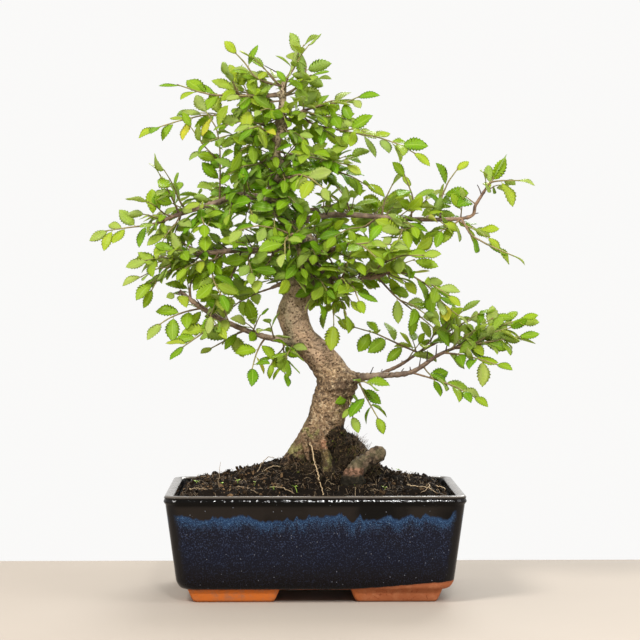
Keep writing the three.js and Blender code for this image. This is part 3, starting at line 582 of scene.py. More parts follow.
def rounded_ring(length, width, radius, divisions):
    """Points round a rectangle with rounded corners, anticlockwise from above."""
    steps, between_length, between_width = divisions
    ring = []
    corners = [(1, -1), (1, 1), (-1, 1), (-1, -1)]
    for corner, (sx, sy) in enumerate(corners):
        start = (corner - 1) * math.pi / 2
        for k in range(steps + 1):
            turn = start + math.pi / 2 * k / steps
            ring.append((
                sx * (length / 2 - radius) + radius * math.cos(turn),
                sy * (width / 2 - radius) + radius * math.sin(turn),
            ))
        nx, ny = corners[(corner + 1) % 4]
        more = between_width if corner % 2 == 0 else between_length
        run = (width if corner % 2 == 0 else length) - 2 * radius
        last = ring[-1]
        for k in range(1, more + 1):
            move = run * k / (more + 1)
            ring.append((last[0] + (nx - sx) / 2 * move, last[1] + (ny - sy) / 2 * move))
    return np.array(ring)


def loft(rings):
    """A closed skin over rings of as many points each, with a centre point at both ends."""
    points = np.vstack([*rings, rings[0].mean(0)[None], rings[-1].mean(0)[None]])
    return points, skin_faces(len(rings), len(rings[0]))


def relief(points, size, seed):
    """Smooth noise from -1 to 1 at points in millimetres, with lumps of about that size."""
    shift = Vector((seed, 1.7 * seed, 2.3 * seed))
    return np.array([noise.noise(Vector(point) / size + shift) for point in points.tolist()])


# Pot


def glaze(settings):
    """Dark glaze over red clay: a black band with a painted sheen, a running bright blue edge, then
    speckled navy, and a painted highlight on the lip's crest.
    """
    r = Recipe("running_blue_glaze")
    glazed = band_and_blue(r, settings)
    glazed = r.mix(r.times(r.spots(220, 0.08, 0.3), 0.6), glazed, (0.19, 0.20, 0.23))
    glazed = r.mix(dark_corner(r), glazed, (0.007, 0.006, 0.006))
    # Painted highlight: a lighter line painted along the lip's crest.
    painted_crest_highlight = r.along_z(70.3, 71.6)
    glazed = r.mix(r.times(painted_crest_highlight, 0.6), glazed, (0.13, 0.11, 0.09))
    slant = r.times(r.math("MAXIMUM", r.minus(r.x, 22 * MM), 0.0), 0.085)
    slant = r.times(slant, r.along_y(-40, -55))
    foot_line = r.plus(r.plus(slant, 9.4 * MM), r.times(r.uneven(120, 2), 1.2 * MM))
    bare = r.rise(r.minus(foot_line, r.z), -0.2 * MM, 0.3 * MM)
    colour = r.mix(bare, glazed, red_clay(r, settings, foot_line))
    r.set(Base_Color=colour, Roughness=r.level(bare, 0.07, 0.85), Specular_IOR_Level=0.14)
    pores = r.times(r.noise(1400, 3, 0.7), bare)
    sagging = r.times(r.noise(230, 2), r.along_z(61, 68, 0.0, 1.6))
    ripples = r.times(r.plus(r.noise(110, 2), sagging), r.minus(1.0, bare))
    r.bump(r.plus(r.times(pores, 0.35), ripples), 0.5, 0.5)
    return r.material


def band_and_blue(r, settings):
    """The black band under the lip, with a painted sheen on its lower part, and the blue that runs down
    from its uneven edge.
    """
    level = r.node("ShaderNodeCombineXYZ", {0: r.x, 1: r.y}).outputs[0]
    wave = r.uneven(26, 2, vector=level)
    ripple = r.uneven(95, 3, vector=level)
    drip = r.math("POWER", r.noise(150, 2, vector=level), 5.0)
    edge = r.plus(settings.blue_edge, r.times(wave, 21 * MM))
    edge = r.plus(edge, r.times(ripple, 6 * MM))
    edge = r.plus(edge, r.times(drip, 28 * MM))
    grain = r.uneven(1500, 2, 0.75)
    below = r.minus(edge, r.plus(r.z, r.times(grain, 4 * MM)))
    blotch = r.noise(60, 4, 0.6)
    speck = r.times(r.rise(r.noise(1250, 1, 0.5), 0.53, 0.7), r.along_z(12, 50, 0.25, 1.0))
    navy = r.mix(r.rise(blotch, 0.35, 0.7), tuple(settings.navy), (0.0045, 0.005, 0.0095))
    navy = r.mix(r.along_z(14, 34, 1.0, 0.0), navy, (0.004, 0.003, 0.0035))
    navy = r.mix(r.times(speck, 0.65), navy, (0.036, 0.048, 0.092))
    bright = r.mix(r.rise(grain, 0.0, 0.2), tuple(settings.blue), (0.06, 0.12, 0.21))
    fade = r.plus(below, r.times(r.minus(blotch, 0.5), 12 * MM))
    speckled = r.plus(fade, r.times(grain, -18 * MM))
    lower = r.mix(r.rise(speckled, -1 * MM, 8.5 * MM), bright, navy)
    # Painted sheen: the lower part of the black band is made lighter brown-grey, a painted reflection.
    painted_sheen = r.times(r.rise(r.noise(24, 3, 0.55), 0.4, 0.62), r.along_z(66.5, 63.5))
    band = r.mix(painted_sheen, (0.002, 0.0016, 0.0013), (0.012, 0.0088, 0.0068))
    return r.mix(r.rise(below, -0.6 * MM, 0.9 * MM), band, lower)


def dark_corner(r):
    """1 on the pot's upright corners, where the glaze has run thin and shows dark."""
    drawn_in = r.times(r.minus((POT_HEIGHT - LIP_DEPTH) * MM, r.z), BATTER / 2)
    ragged = r.times(r.uneven(220, 2), 4 * MM)
    out_x = r.plus(r.plus(r.math("ABSOLUTE", r.x), drawn_in), ragged)
    out_y = r.plus(r.plus(r.math("ABSOLUTE", r.y), drawn_in), ragged)
    return r.times(r.rise(out_x, 90.5 * MM, 94.5 * MM), r.rise(out_y, 63.5 * MM, 67.5 * MM))


def red_clay(r, settings, foot_line):
    """Unglazed clay, warmer and rustier at the right, and stained along the foot line and underneath."""
    warm = r.along_x(-20, 50)
    clay = r.mix(warm, tuple(settings.clay), (0.37, 0.115, 0.045))
    clay = r.mix(r.rise(r.noise(140, 4, 0.65), 0.42, 0.72), clay, (0.46, 0.17, 0.075))
    rust = r.times(r.rise(r.noise(210, 4, 0.7, distortion=1.5), 0.56, 0.7), warm)
    clay = r.mix(r.times(rust, 0.8), clay, (0.20, 0.04, 0.014))
    stain = r.rise(r.minus(r.z, foot_line), -1.6 * MM, -0.1 * MM, 0.0, 0.7)
    clay = r.mix(stain, clay, (0.17, 0.05, 0.022))
    return r.mix(r.along_z(0, 2.2, 0.5, 0.0), clay, (0.16, 0.05, 0.02))


def pot_body():
    """The pot's battered box with its rolled lip, hollow, as one closed skin."""
    under = POT_HEIGHT - LIP_DEPTH

    def ring(length, width, radius, z):
        flat = rounded_ring(length, width, radius, POT_STEPS)
        return np.column_stack([flat, np.full(len(flat), z)])

    def outside(z, inset):
        less = (under - z) * BATTER + inset
        return ring(POT_LENGTH - 2 * LIP_PROUD - less, POT_WIDTH - 2 * LIP_PROUD - less, CORNER_RADIUS, z)

    def lip(z, inset, radius=CORNER_RADIUS):
        return ring(POT_LENGTH - inset, POT_WIDTH - inset, radius, z)

    def inside(z, rounding):
        less = 2 * WALL + (POT_HEIGHT - z) * BATTER + rounding
        return ring(POT_LENGTH - less, POT_WIDTH - less, CORNER_RADIUS - 3, z)

    rings = [outside(FOOT_HEIGHT + rise, inset) for rise, inset in HEEL]
    rings += [outside(z, 0) for z in np.linspace(20, under - 2.2, 9)]
    rings.append(outside(under - 1.2, 0.1))
    rings += [lip(under + rise, inset) for rise, inset in LIP_ROLL]
    rings += [lip(POT_HEIGHT - drop, inset) for drop, inset in LIP_CREST]
    rings += [lip(POT_HEIGHT, 2 * WALL - 5.2, 9), lip(POT_HEIGHT - 0.25, 2 * WALL - 2.6, 8)]
    rings.append(inside(POT_HEIGHT - 1, -0.7))
    rings += [inside(z, 0) for z in (POT_HEIGHT - 2, 60, 40, 26, FLOOR_TOP + 2)]
    rings += [inside(FLOOR_TOP + 0.6, 1.2), inside(FLOOR_TOP, 3)]
    return loft(rings)


def pot_foot(sx, sy):
    """One splayed foot that tapers downwards, with softened edges."""

    def ring(smaller, z, radius):
        flat = rounded_ring(FOOT_SIZE[0] - smaller, FOOT_SIZE[1] - smaller, radius, FOOT_STEPS)
        return np.column_stack([flat + (sx * FOOT_CENTRE[0], sy * FOOT_CENTRE[1]), np.full(len(flat), z)])

    rings = [ring(FOOT_SPLAY + less, z, radius) for z, less, radius in FOOT_EDGE]
    rings += [ring(FOOT_SPLAY * (1 - z / (FOOT_HEIGHT + 1)), z, FOOT_CORNER) for z in FOOT_LEVELS]
    return loft(rings)


def drilled(piece):
    """A new mesh of the pot's body with the two drain holes cut through its floor."""
    drills = Form()
    for side in (-1, 1):
        line = [(side * DRAIN_CENTRE_X, 0, z) for z in (2, 8, 14, 22)]
        drills.add(*tube(line, DRAIN_RADIUS, 32))
    drill = in_scene("drill", drills.mesh("drill"))
    cut = piece.modifiers.new("drains", "BOOLEAN")
    cut.operation = "DIFFERENCE"
    cut.solver = "EXACT"
    cut.object = drill
    made = applied(piece)
    piece.modifiers.clear()
    bpy.data.objects.remove(drill)
    return made


def make_pot(settings):
    """The pot in one piece: its body, drilled twice, and four feet."""
    body = Form()
    body.add(*pot_body())
    piece = body.piece("stoneware_pot", [glaze(settings)], "glazed_pot", ["pot"])
    feet = Form()
    for sx in (-1, 1):
        for sy in (-1, 1):
            feet.add(*pot_foot(sx, sy))
    shape = bmesh.new()
    shape.from_mesh(drilled(piece))
    shape.from_mesh(feet.mesh("feet"))
    bmesh.ops.triangulate(shape, faces=[face for face in shape.faces if len(face.verts) > 4])
    for face in shape.faces:
        face.smooth = True
        face.material_index = 0
    sharp = math.radians(40)
    for edge in shape.edges:
        edge.smooth = len(edge.link_faces) == 2 and edge.calc_face_angle(0.0) < sharp
    piece.data.clear_geometry()
    shape.to_mesh(piece.data)
    shape.free()
    if not piece.data.polygons:
        raise RuntimeError("the pot came out empty")


# Soil


def soil_height(x, y, inward):
    """How high the soil stands at x, y; inward is 0 at the pot's wall and 1 well inside."""
    x, y = np.asarray(x, float), np.asarray(y, float)

    def hill(cx, cy, height, spread_x, spread_y):
        return height * np.exp(-(((x - cx) / spread_x) ** 2) - ((y - cy) / spread_y) ** 2)

    lump = SOIL_LUMP * (np.sin(0.31 * x + 1.3) * np.cos(0.27 * y) + np.sin(0.53 * y + 0.19 * x))
    return SOIL_EDGE + inward * (SOIL_SHOULDER - SOIL_EDGE + hill(*MOUND) + hill(*HEAP) + lump)


def soil_outline(z, rounding):
    """The line of the soil against the pot's wall at a height."""
    less = 2 * (WALL + GAP) + (POT_HEIGHT - z) * BATTER + rounding
    return rounded_ring(POT_LENGTH - less, POT_WIDTH - less, CORNER_RADIUS - 3, SOIL_STEPS)


def inward_of(share):
    """How far inside the pot's wall a share of the way out from the mound is: 0 at the wall, then 1."""
    return np.minimum(1, (1 - share) / 0.14)


def loose_height(x, y, share):
    """The soil's surface with its clods and grains."""
    inward = inward_of(share)
    base = soil_height(x, y, inward)
    flat = np.column_stack([x, y, np.zeros(len(x))])
    clods = 1.3 * relief(flat, 7, 3) + 0.9 * relief(flat, 3.2, 8) + 0.55 * np.abs(relief(flat, 1.5, 5))
    return base + clods * np.clip(0.35 + inward, 0, 1)


def earth(name, dark, light, right_darkening=0.55):
    """Moist potting soil or bark crumbs: near black to brown, with pale grains, darker towards the right.

    The tint that the points carry says how pale, how deep and how mossy they are.
    """
    r = Recipe(name)
    tint = r.value("tint")
    patch = r.noise(190, 4, 0.65)
    grain = r.noise(1300, 3, 0.7)
    colour = r.mix(r.rise(patch, 0.32, 0.7), tuple(dark), tuple(light))
    colour = r.mix(r.rise(grain, 0.42, 0.72), colour, tuple(part * 2.8 for part in light))
    colour = r.mix(r.rise(r.noise(800, 3, 0.7), 0.52, 0.36), colour, (0.004, 0.0026, 0.0017))
    colour = r.mix(r.times(tint[0], 0.85), colour, (0.25, 0.15, 0.075))
    colour = r.mix(tint[1], colour, (0.006, 0.0042, 0.0028))
    colour = r.mix(r.times(r.spots(420, 0.2, 0.4), 0.35), colour, (0.28, 0.19, 0.105))
    # Darker towards the right, by the given share.
    colour = r.mix(r.times(r.along_x(-55, 0), right_darkening), colour, (0.004, 0.0026, 0.0015))
    colour = r.mix(tint[2], colour, (0.10, 0.115, 0.02))
    r.set(Base_Color=colour, Roughness=0.92, Specular_IOR_Level=0.08)
    r.bump(r.plus(grain, r.noise(420, 3, 0.6)), 0.9, 0.9)
    return r.material


def make_soil(settings):
    """The soil as one lumpy block that fills the pot and mounds up round the trunk."""
    edge = soil_outline(SOIL_EDGE, 0)
    levels = [(FLOOR_TOP + GAP, 3.2), (FLOOR_TOP + 2 + GAP, 0), (30, 0), (45, 0), (58, 0)]
    rings = [np.column_stack([soil_outline(z, inset), np.full(len(edge), z)]) for z, inset in levels]
    middle = np.array(MOUND[:2], float)
    for share in [1.0, 0.985, 0.965, *np.linspace(0.945, 0.02, 68)]:
        flat = middle + (edge - middle) * share
        rings.append(np.column_stack([flat, loose_height(flat[:, 0], flat[:, 1], share)]))
    form = Form()
    form.add(*loft(rings), tint=(0, 0.45, 0))
    finish = earth("potting_soil", settings.dark, settings.light)
    form.piece("potting_soil", [finish], "soil", ["soil"])


def on_soil(rng, count):
    """Random places on the soil, spread evenly: x, y and the height there."""
    innermost, outermost = 0.12, 0.985
    edge = soil_outline(SOIL_EDGE, 1.6)
    middle = np.array(MOUND[:2], float)
    corner = rng.integers(0, len(edge), count)
    share = np.sqrt(rng.uniform(innermost ** 2, outermost ** 2, count))
    flat = middle + (edge[corner] - middle) * share[:, None]
    return flat[:, 0], flat[:, 1], soil_height(flat[:, 0], flat[:, 1], inward_of(share))


def ball(subdivisions):
    """A unit ball of triangles: its points and faces."""
    shape = bmesh.new()
    bmesh.ops.create_icosphere(shape, subdivisions=subdivisions, radius=1)
    points = np.array([v.co[:] for v in shape.verts])
    faces = np.array([[v.index for v in f.verts] for f in shape.faces])
    shape.free()
    return points, faces


def roughened(points, depth, rng):
    """Points moved in or out at random, by a share of how far out they are."""
    return points * (1 + depth * rng.standard_normal((len(points), 1)).clip(-1.5, 1.5))


def any_turn(rng):
    """A random rotation matrix."""
    return np.array(Euler(rng.uniform(0, 2 * math.pi, 3).tolist()).to_matrix())


def make_crumbs(settings):
    """Loose crumbs of bark and clods that lie on the soil."""
    rng = np.random.default_rng(SEEDS["crumbs"])
    coarse, fine = ball(1), ball(2)
    dry_side = -20
    x, y, z = on_soil(rng, settings.crumbs)
    form = Form()
    for k in range(len(x)):
        size = float(np.clip(rng.lognormal(-0.5, 0.45), 0.3, 2.2))
        points, faces = fine if size > 1.2 else coarse
        shape = roughened(points, 0.28, rng) * size * rng.uniform((0.7, 0.6, 0.4), (1.5, 1.1, 0.8))
        turned = shape @ any_turn(rng).T
        rise = rng.uniform(-0.3, 1.0)
        light = rng.random() < (0.2 if x[k] < dry_side else 0.1)
        deep = float(np.clip(0.95 - 0.8 * rise, 0, 1)) * (not light)
        tint = (rng.uniform(0.35, 1) if light else rng.uniform(0, 0.3), deep, 0)
        lift = 0.3 * size + rise
        form.add(turned + (x[k], y[k], z[k] + lift), [faces], tint=tint)
    finish = earth("bark_crumbs", (0.0022, 0.0014, 0.0009), (0.0095, 0.0056, 0.003))
    form.piece("soil_crumbs", [finish], "soil", smooth=False)


# Clumps of dark, mossy soil that cling to the trunk's foot: centre and radii
CLUMPS = [
    ((20, -7, 87), (8.5, 9, 15)),
    ((27, -9, 84), (9, 9, 13)),
    ((34, -12, 80), (9, 9, 12)),
    ((17, -13, 100), (6, 6, 8)),
    ((20, -18, 88), (6, 6, 9)),
    ((0, -14, 93), (6, 4.5, 4.5)),
    ((-3, -18, 84), (9, 6, 5)),
    ((-14, -12, 84), (9, 8, 5)),
    ((-25, -8, 79), (9, 9, 5)),
    ((31, -17, 79), (12, 12, 11)),
    ((8, -27, 78), (10, 7, 5)),
    ((14, -13, 106), (5, 5, 6)),
    ((11, -16, 101), (3.5, 3.5, 4)),
    ((16, -17, 95), (4, 4.5, 6)),
    ((17.5, -10, 107.5), (3.5, 3.5, 4)),
    ((25.5, -41.5, 70.5), (9.2, 8, 8.8)),
    ((14, -31, 75), (6, 6, 5)),
]


def add_hair(form, foot, lean, length, curl, widest, tint):
    """A fine hair that leaves its foot one way and curls off another."""
    line = [foot + lean * length * t + curl * length * t * t for t in np.linspace(0, 1, 5)]
    form.add(*tube(line, np.linspace(widest, 0.06, 5), 3), tint=tint)


def make_moss():
    """Mossy clumps on the foot of the trunk, with crumbs and fine dark hairs."""
    rng = np.random.default_rng(SEEDS["moss"])
    form = Form()
    sphere, skin = ball(4)
    coarse, coarse_faces = ball(1)
    for centre, radii in CLUMPS:
        centre, radii = np.array(centre, float), np.array(radii, float)
        size = float(radii.mean())
        points = sphere * radii + centre
        rough = 0.16 * size * relief(points, 0.5 * size, 3)
        rough += 1.1 * relief(points, 2.4, 5) + 0.5 * relief(points, 1.1, 8)
        form.add(points + sphere * rough[:, None], [skin], tint=(0, 0.2, 0))
        for _ in range(int(0.85 * size * size)):
            way = unit(rng.normal(0, 1, 3))
            spot = centre + way * radii
            scale = float(np.clip(rng.lognormal(-0.5, 0.4), 0.3, 1.6))
            crumb = roughened(coarse, 0.25, rng) * scale * rng.uniform(0.6, 1.4, 3) @ any_turn(rng).T
            light = rng.random() < 0.2
            mossy = rng.uniform(0.3, 0.9) * (rng.random() < 0.12)
            tint = (rng.uniform(0.2, 0.9) * light, rng.uniform(0, 0.9) * (not light), mossy)
            form.add(crumb + spot + way * rng.uniform(-0.2, 1.0), [coarse_faces], tint=tint)
        for _ in range(int(1.4 * size * size)):
            way = unit(rng.normal(0, 1, 3) + (0.3, -0.4, 0.5))
            spot = centre + way * radii
            lean = unit(way + rng.normal(0, 0.5, 3))
            length, curl = rng.uniform(1.5, 5.5), rng.normal(0, 0.35, 3)
            mossy = rng.uniform(0.2, 0.8) * (rng.random() < 0.2)
            add_hair(form, spot, lean, length, curl, 0.17, (rng.uniform(0, 1) ** 2, 0, mossy))
    finish = earth("mossy_soil", (0.005, 0.0036, 0.0022), (0.024, 0.0165, 0.009), right_darkening=0)
    form.piece("mossy_clumps", [finish], "soil")


def straw_finish():
    """Dry straw and rootlets, from tan to dark brown."""
    r = Recipe("dry_rootlets")
    tint = r.value("tint")
    colour = r.mix(tint[0], (0.035, 0.02, 0.011), (0.46, 0.33, 0.18))
    colour = r.mix(r.rise(r.noise(500, 3), 0.35, 0.75, 0.0, 0.45), colour, (0.05, 0.03, 0.018))
    r.set(Base_Color=colour, Roughness=0.7)
    r.bump(r.noise(1600, 2, stretch=(1, 1, 0.3)), 0.15, 0.6)
    return r.material


# Longer rootlets: the points that each passes, its radius at the start and at the end, and how pale it is
ROOTLETS = [
    ([(-3, -14, 103), (-1, -19, 97), (0, -27, 90), (2, -36, 84.5), (3, -47, 79), (4.5, -57, 76),
      (5, -66.5, 72.5)], 0.5, 0.26, 0.85),
    ([(-64, -40, 73), (-64.5, -41, 79), (-64, -40, 86), (-63, -38, 92)], 0.28, 0.12, 0.5),
    ([(-40, -20, 80), (-36, -16, 88), (-31, -14, 93), (-27, -14, 92.5)], 0.4, 0.2, 0.45),
    ([(-42, -18, 78), (-36, -17, 83), (-27, -16, 87), (-20, -15, 86)], 0.45, 0.25, 0.6),
    ([(62, -38, 76), (69, -42, 75.5), (76, -49, 75), (80, -58, 73)], 0.4, 0.2, 0.8),
    ([(82, -30, 75), (86, -38, 74.5), (87, -48, 74)], 0.35, 0.18, 0.85),
    ([(74, -44, 75), (76, -50, 78), (75, -56, 76), (70, -60, 73)], 0.3, 0.2, 0.7),
    ([(-30, -50, 76), (-22, -55, 76), (-14, -62, 73)], 0.3, 0.18, 0.75),
    ([(-52, -47, 76), (-44, -52, 75.5), (-38, -60, 73)], 0.32, 0.15, 0.6),
    ([(-84, -40, 74), (-78, -46, 75), (-70, -48, 74)], 0.35, 0.2, 0.7),
]


def add_straws(form, rng, count):
    """Short straws and rootlets that lie on the soil inside the pot's wall, a few of them long."""
    wall_x, wall_y, clear = 91, 64, 2
    steps = np.linspace(0, 1, 5)
    for x, y, _ in zip(*on_soil(rng, count)):
        length = rng.uniform(2.5, 8) if rng.random() < 0.9 else rng.uniform(9, 20)
        heading = rng.uniform(0, 2 * math.pi) + rng.uniform(-1.2, 1.2) * steps
        px = x + np.cumsum(np.cos(heading)) * length / 5
        py = y + np.cumsum(np.sin(heading)) * length / 5
        px = np.clip(px, clear - wall_x, wall_x - clear)
        py = np.clip(py, clear - wall_y, wall_y - clear)
        inward = np.clip(np.minimum((wall_x - np.abs(px)) / 13, (wall_y - np.abs(py)) / 9), 0, 1)
        lift = rng.uniform(0.2, 1.0) + rng.uniform(-0.5, 2.6) * np.sin(math.pi * steps) ** 2
        line = np.column_stack([px, py, soil_height(px, py, inward) + lift])
        radii = np.linspace(1, 0.5, 5) * rng.uniform(0.1, 0.26)
        form.add(*tube(line, radii, 3), tint=(rng.beta(0.9, 3.0), 0, 0))


def add_heap_hairs(form, rng, count):
    """Fine dark rootlets that stick out of the heap on the right."""
    for _ in range(count):
        turn = rng.uniform(0, 2 * math.pi)
        out = abs(rng.normal(0, 0.65))
        x = HEAP[0] + HEAP[3] * out * math.cos(turn)
        y = HEAP[1] - 4 + HEAP[4] * out * math.sin(turn)
        foot = np.array([x, y, float(soil_height(x, y, 1)) - 0.5])
        lean = unit(np.array([math.cos(turn), math.sin(turn), rng.uniform(0.2, 1.6)]))
        length, curl = rng.uniform(2, 6.5), rng.normal(0, 0.35, 3)
        add_hair(form, foot, lean, length, curl, 0.16, (rng.uniform(0, 0.3), 0, 0))


def make_rootlets(settings):
    """Pale rootlets, straw and fine dark hairs on the soil."""
    rng = np.random.default_rng(SEEDS["rootlets"])
    form = Form()
    for points, start, end, pale in ROOTLETS:
        line = curve_through(points, 1.5)
        line += 0.25 * rng.standard_normal(line.shape)
        form.add(*tube(line, np.linspace(start, end, len(line)), 5), tint=(pale, 0, 0))
    add_straws(form, rng, settings.straws)
    add_heap_hairs(form, rng, settings.hairs)
    form.piece("rootlets_and_straw", [straw_finish()], "soil")


# Wood


def bark(settings):
    """Grey-brown bark: pinkish and dotted in the middle, rough and mottled low down, mossy at the foot."""
    r = Recipe("zelkova_bark")
    patch = r.noise(70, 5, 0.62, distortion=0.4)
    mottle = r.noise(300, 5, 0.72)
    fine = r.noise(900, 3, 0.7)
    rough = r.along_z(163, 145)
    middle_root = r.times(r.times(r.along_x(1, 5), r.along_x(18, 14)), r.along_z(101, 97))
    loop = r.times(r.along_y(-22.5, -27.5), r.along_x(13, 18))
    colour = upper_bark(r, settings, patch, mottle)
    colour = lower_bark(r, colour, patch, mottle, rough)
    colour = root_marks(r, colour, mottle, middle_root)
    cracks = r.rise(r.noise(360, 5, 0.72, stretch=(1, 1, 1.8)), 0.46, 0.36)
    colour = r.mix(r.times(cracks, r.along_z(170, 140, 0.22, 1.0)), colour, (0.05, 0.032, 0.02))
    dots = r.spots(330, 0.3, 0.5, stretch=(1, 1, 1.15), randomness=0.8)
    dots = r.times(dots, r.rise(r.noise(140, 2), 0.36, 0.46))
    dotted = r.along_z(135, 150, 0.2, 1.0)
    colour = r.mix(r.times(r.times(dots, dotted), 0.9), colour, (0.085, 0.046, 0.029))
    colour = r.mix(r.times(r.rise(fine, 0.52, 0.64), 0.5), colour, (0.07, 0.042, 0.024))
    colour = r.mix(r.times(r.rise(fine, 0.5, 0.32), 0.25), colour, (0.64, 0.50, 0.34))
    colour = r.mix(loop, colour, loop_bark(r, mottle))
    scar = r.times(r.along_z(129, 135), r.along_z(150, 143))
    pits = r.rise(r.noise(420, 4, 0.7, stretch=(1, 1, 1.4)), 0.56, 0.44)
    colour = r.mix(r.times(r.times(scar, pits), 0.8), colour, (0.07, 0.046, 0.03))
    colour = soil_on_bark(r, colour, mottle, middle_root, loop)
    r.set(Base_Color=colour, Roughness=r.level(fine, 0.65, 0.95), Specular_IOR_Level=0.1)
    height = r.plus(r.times(fine, 0.45), r.times(cracks, -0.9))
    height = r.plus(height, r.times(dots, -0.6))
    height = r.plus(height, r.times(r.times(mottle, rough), 1.1))
    r.bump(height, settings.bark_relief, 0.9)
    return r.material


def upper_bark(r, settings, patch, mottle):
    """Plain bark, pinkish halfway up, painted paler higher up as painted light against the crown's shade,
    and with grey patches.
    """
    plain = r.mix(r.rise(patch, 0.36, 0.64), tuple(settings.bark), (0.165, 0.12, 0.08))
    pink = r.mix(r.rise(patch, 0.35, 0.66), tuple(settings.pink), (0.25, 0.175, 0.115))
    colour = r.mix(r.times(r.along_z(146, 163), r.along_z(236, 205)), plain, pink)
    # Painted light: the bark is made paler higher up, where the crown's shade falls on it.
    pale = r.mix(mottle, (0.30, 0.215, 0.12), (0.62, 0.50, 0.32))
    colour = r.mix(r.times(r.along_z(178, 196), 0.45), colour, pale)
    grey = r.times(r.rise(r.noise(45, 3, 0.6), 0.5, 0.66), r.along_z(140, 160))
    return r.mix(r.times(grey, 0.6), colour, (0.24, 0.235, 0.15))


def lower_bark(r, colour, patch, mottle, rough):
    """Rougher bark low down, with cream flakes and dark stains, and browner on the roots."""
    coarse = r.mix(r.rise(patch, 0.4, 0.62), (0.26, 0.16, 0.083), (0.10, 0.06, 0.031))
    colour = r.mix(r.times(rough, 0.8), colour, coarse)
    cream = r.times(r.rise(mottle, 0.53, 0.60), rough)
    colour = r.mix(r.times(cream, 0.75), colour, (0.54, 0.41, 0.25))
    stain = r.times(r.rise(mottle, 0.47, 0.41), rough)
    colour = r.mix(r.times(stain, 0.7), colour, (0.085, 0.05, 0.027))
    rooty = r.mix(r.rise(patch, 0.42, 0.6), (0.048, 0.029, 0.016), (0.18, 0.102, 0.054))
    return r.mix(r.times(r.along_z(122, 98), 0.8), colour, rooty)


def root_marks(r, colour, mottle, middle_root):
    """Moss on the middle root, the torn red bark above it, and green algae near the foot."""
    mossy_root = r.mix(r.rise(mottle, 0.4, 0.62), (0.085, 0.062, 0.018), (0.022, 0.015, 0.007))
    colour = r.mix(r.times(middle_root, 0.8), colour, mossy_root)
    torn = r.times(r.along_x(3, 5), r.along_x(13, 11))
    torn = r.times(torn, r.times(r.along_z(98.5, 100), r.along_z(107, 104)))
    torn = r.times(torn, r.rise(mottle, 0.35, 0.6, 0.75, 0.3))
    colour = r.mix(torn, colour, (0.26, 0.11, 0.055))
    green = r.rise(r.noise(60, 4, 0.6, distortion=0.5), 0.53, 0.64)
    green = r.times(green, r.along_z(150, 110, 0.1, 0.7))
    return r.mix(green, colour, (0.17, 0.17, 0.05))


def loop_bark(r, mottle):
    """Bark of the looping root: dark and mossy below, with a sawn, reddish rim on the stub of its bend."""
    root = r.mix(r.rise(mottle, 0.45, 0.56), (0.14, 0.098, 0.062), (0.025, 0.0165, 0.011))
    root = r.mix(r.times(r.rise(r.noise(150, 3), 0.45, 0.6), 0.7), root, (0.10, 0.085, 0.045))
    wavy = r.plus(r.z, r.times(mottle, 20 * MM))
    root = r.mix(r.rise(wavy, 96.5 * MM, 90.5 * MM), root, (0.013, 0.0115, 0.007))
    sawn = r.mix(r.rise(mottle, 0.44, 0.58), (0.33, 0.175, 0.11), (0.10, 0.05, 0.028))
    ragged = r.plus(r.z, r.times(r.minus(mottle, 0.5), 8 * MM))
    rim = r.times(r.rise(ragged, 82.5 * MM, 84.2 * MM), r.along_z(88.5, 86.5))
    rim = r.times(rim, r.along_x(33.5, 31.5))
    return r.mix(r.times(rim, 0.85), root, sawn)


def soil_on_bark(r, colour, mottle, middle_root, loop):
    """Soil that clings to the foot of the trunk, less on the two bare roots, and painted shade that darkens
    the foot's right side.
    """
    soiled = r.plus(r.along_z(112, 80), r.times(r.minus(mottle, 0.5), 2.2))
    soiled = r.times(r.rise(soiled, 0.4, 0.9), r.level(middle_root, 1, 0.35))
    soiled = r.times(soiled, r.level(loop, 1, 0.3))
    colour = r.mix(soiled, colour, (0.012, 0.008, 0.005))
    # Painted shade: the right side of the trunk's foot is made darker.
    painted_right_shade = r.times(r.along_x(6, 17), r.along_z(125, 104))
    painted_right_shade = r.times(painted_right_shade, r.minus(1.0, loop))
    painted_right_shade = r.rise(r.plus(painted_right_shade, r.minus(mottle, 0.5)), 0.42, 0.6)
    return r.mix(painted_right_shade, colour, (0.014, 0.0095, 0.006))


def bough_bark():
    """Bark of the thinner wood: grey-brown, then red-brown in the last twigs and green at their ends.

    The tint that the points carry says how young, how green and how dark it is; the dark on the lower right
    boughs is painted shade.
    """
    r = Recipe("young_bark")
    tint = r.value("tint")
    patch = r.noise(160, 4, 0.65)
    old = r.mix(r.rise(patch, 0.35, 0.65), (0.33, 0.235, 0.155), (0.14, 0.095, 0.065))
    young = r.mix(r.rise(patch, 0.35, 0.65), (0.22, 0.115, 0.06), (0.075, 0.038, 0.024))
    colour = r.mix(tint[0], old, young)
    colour = r.mix(tint[1], colour, (0.24, 0.26, 0.05))
    # The third part darkens the bare twiglets, and the lower right boughs as painted shade.
    colour = r.mix(tint[2], colour, (0.022, 0.014, 0.011))
    colour = r.mix(r.times(r.spots(560, 0.24, 0.5, stretch=(1, 1, 1.3)), 0.5), colour, (0.28, 0.22, 0.16))
    r.set(Base_Color=colour, Roughness=0.62, Specular_IOR_Level=0.35)
    r.bump(r.plus(r.noise(900, 3, 0.6), patch), 0.25, 0.6)
    return r.material


def off_wood(places, wood):
    """How far each place lies outside the round skin over stations of x, y, z and radius."""
    return np.min(np.linalg.norm(places[:, None] - wood[None, :, :3], axis=2) - wood[None, :, 3], axis=1)


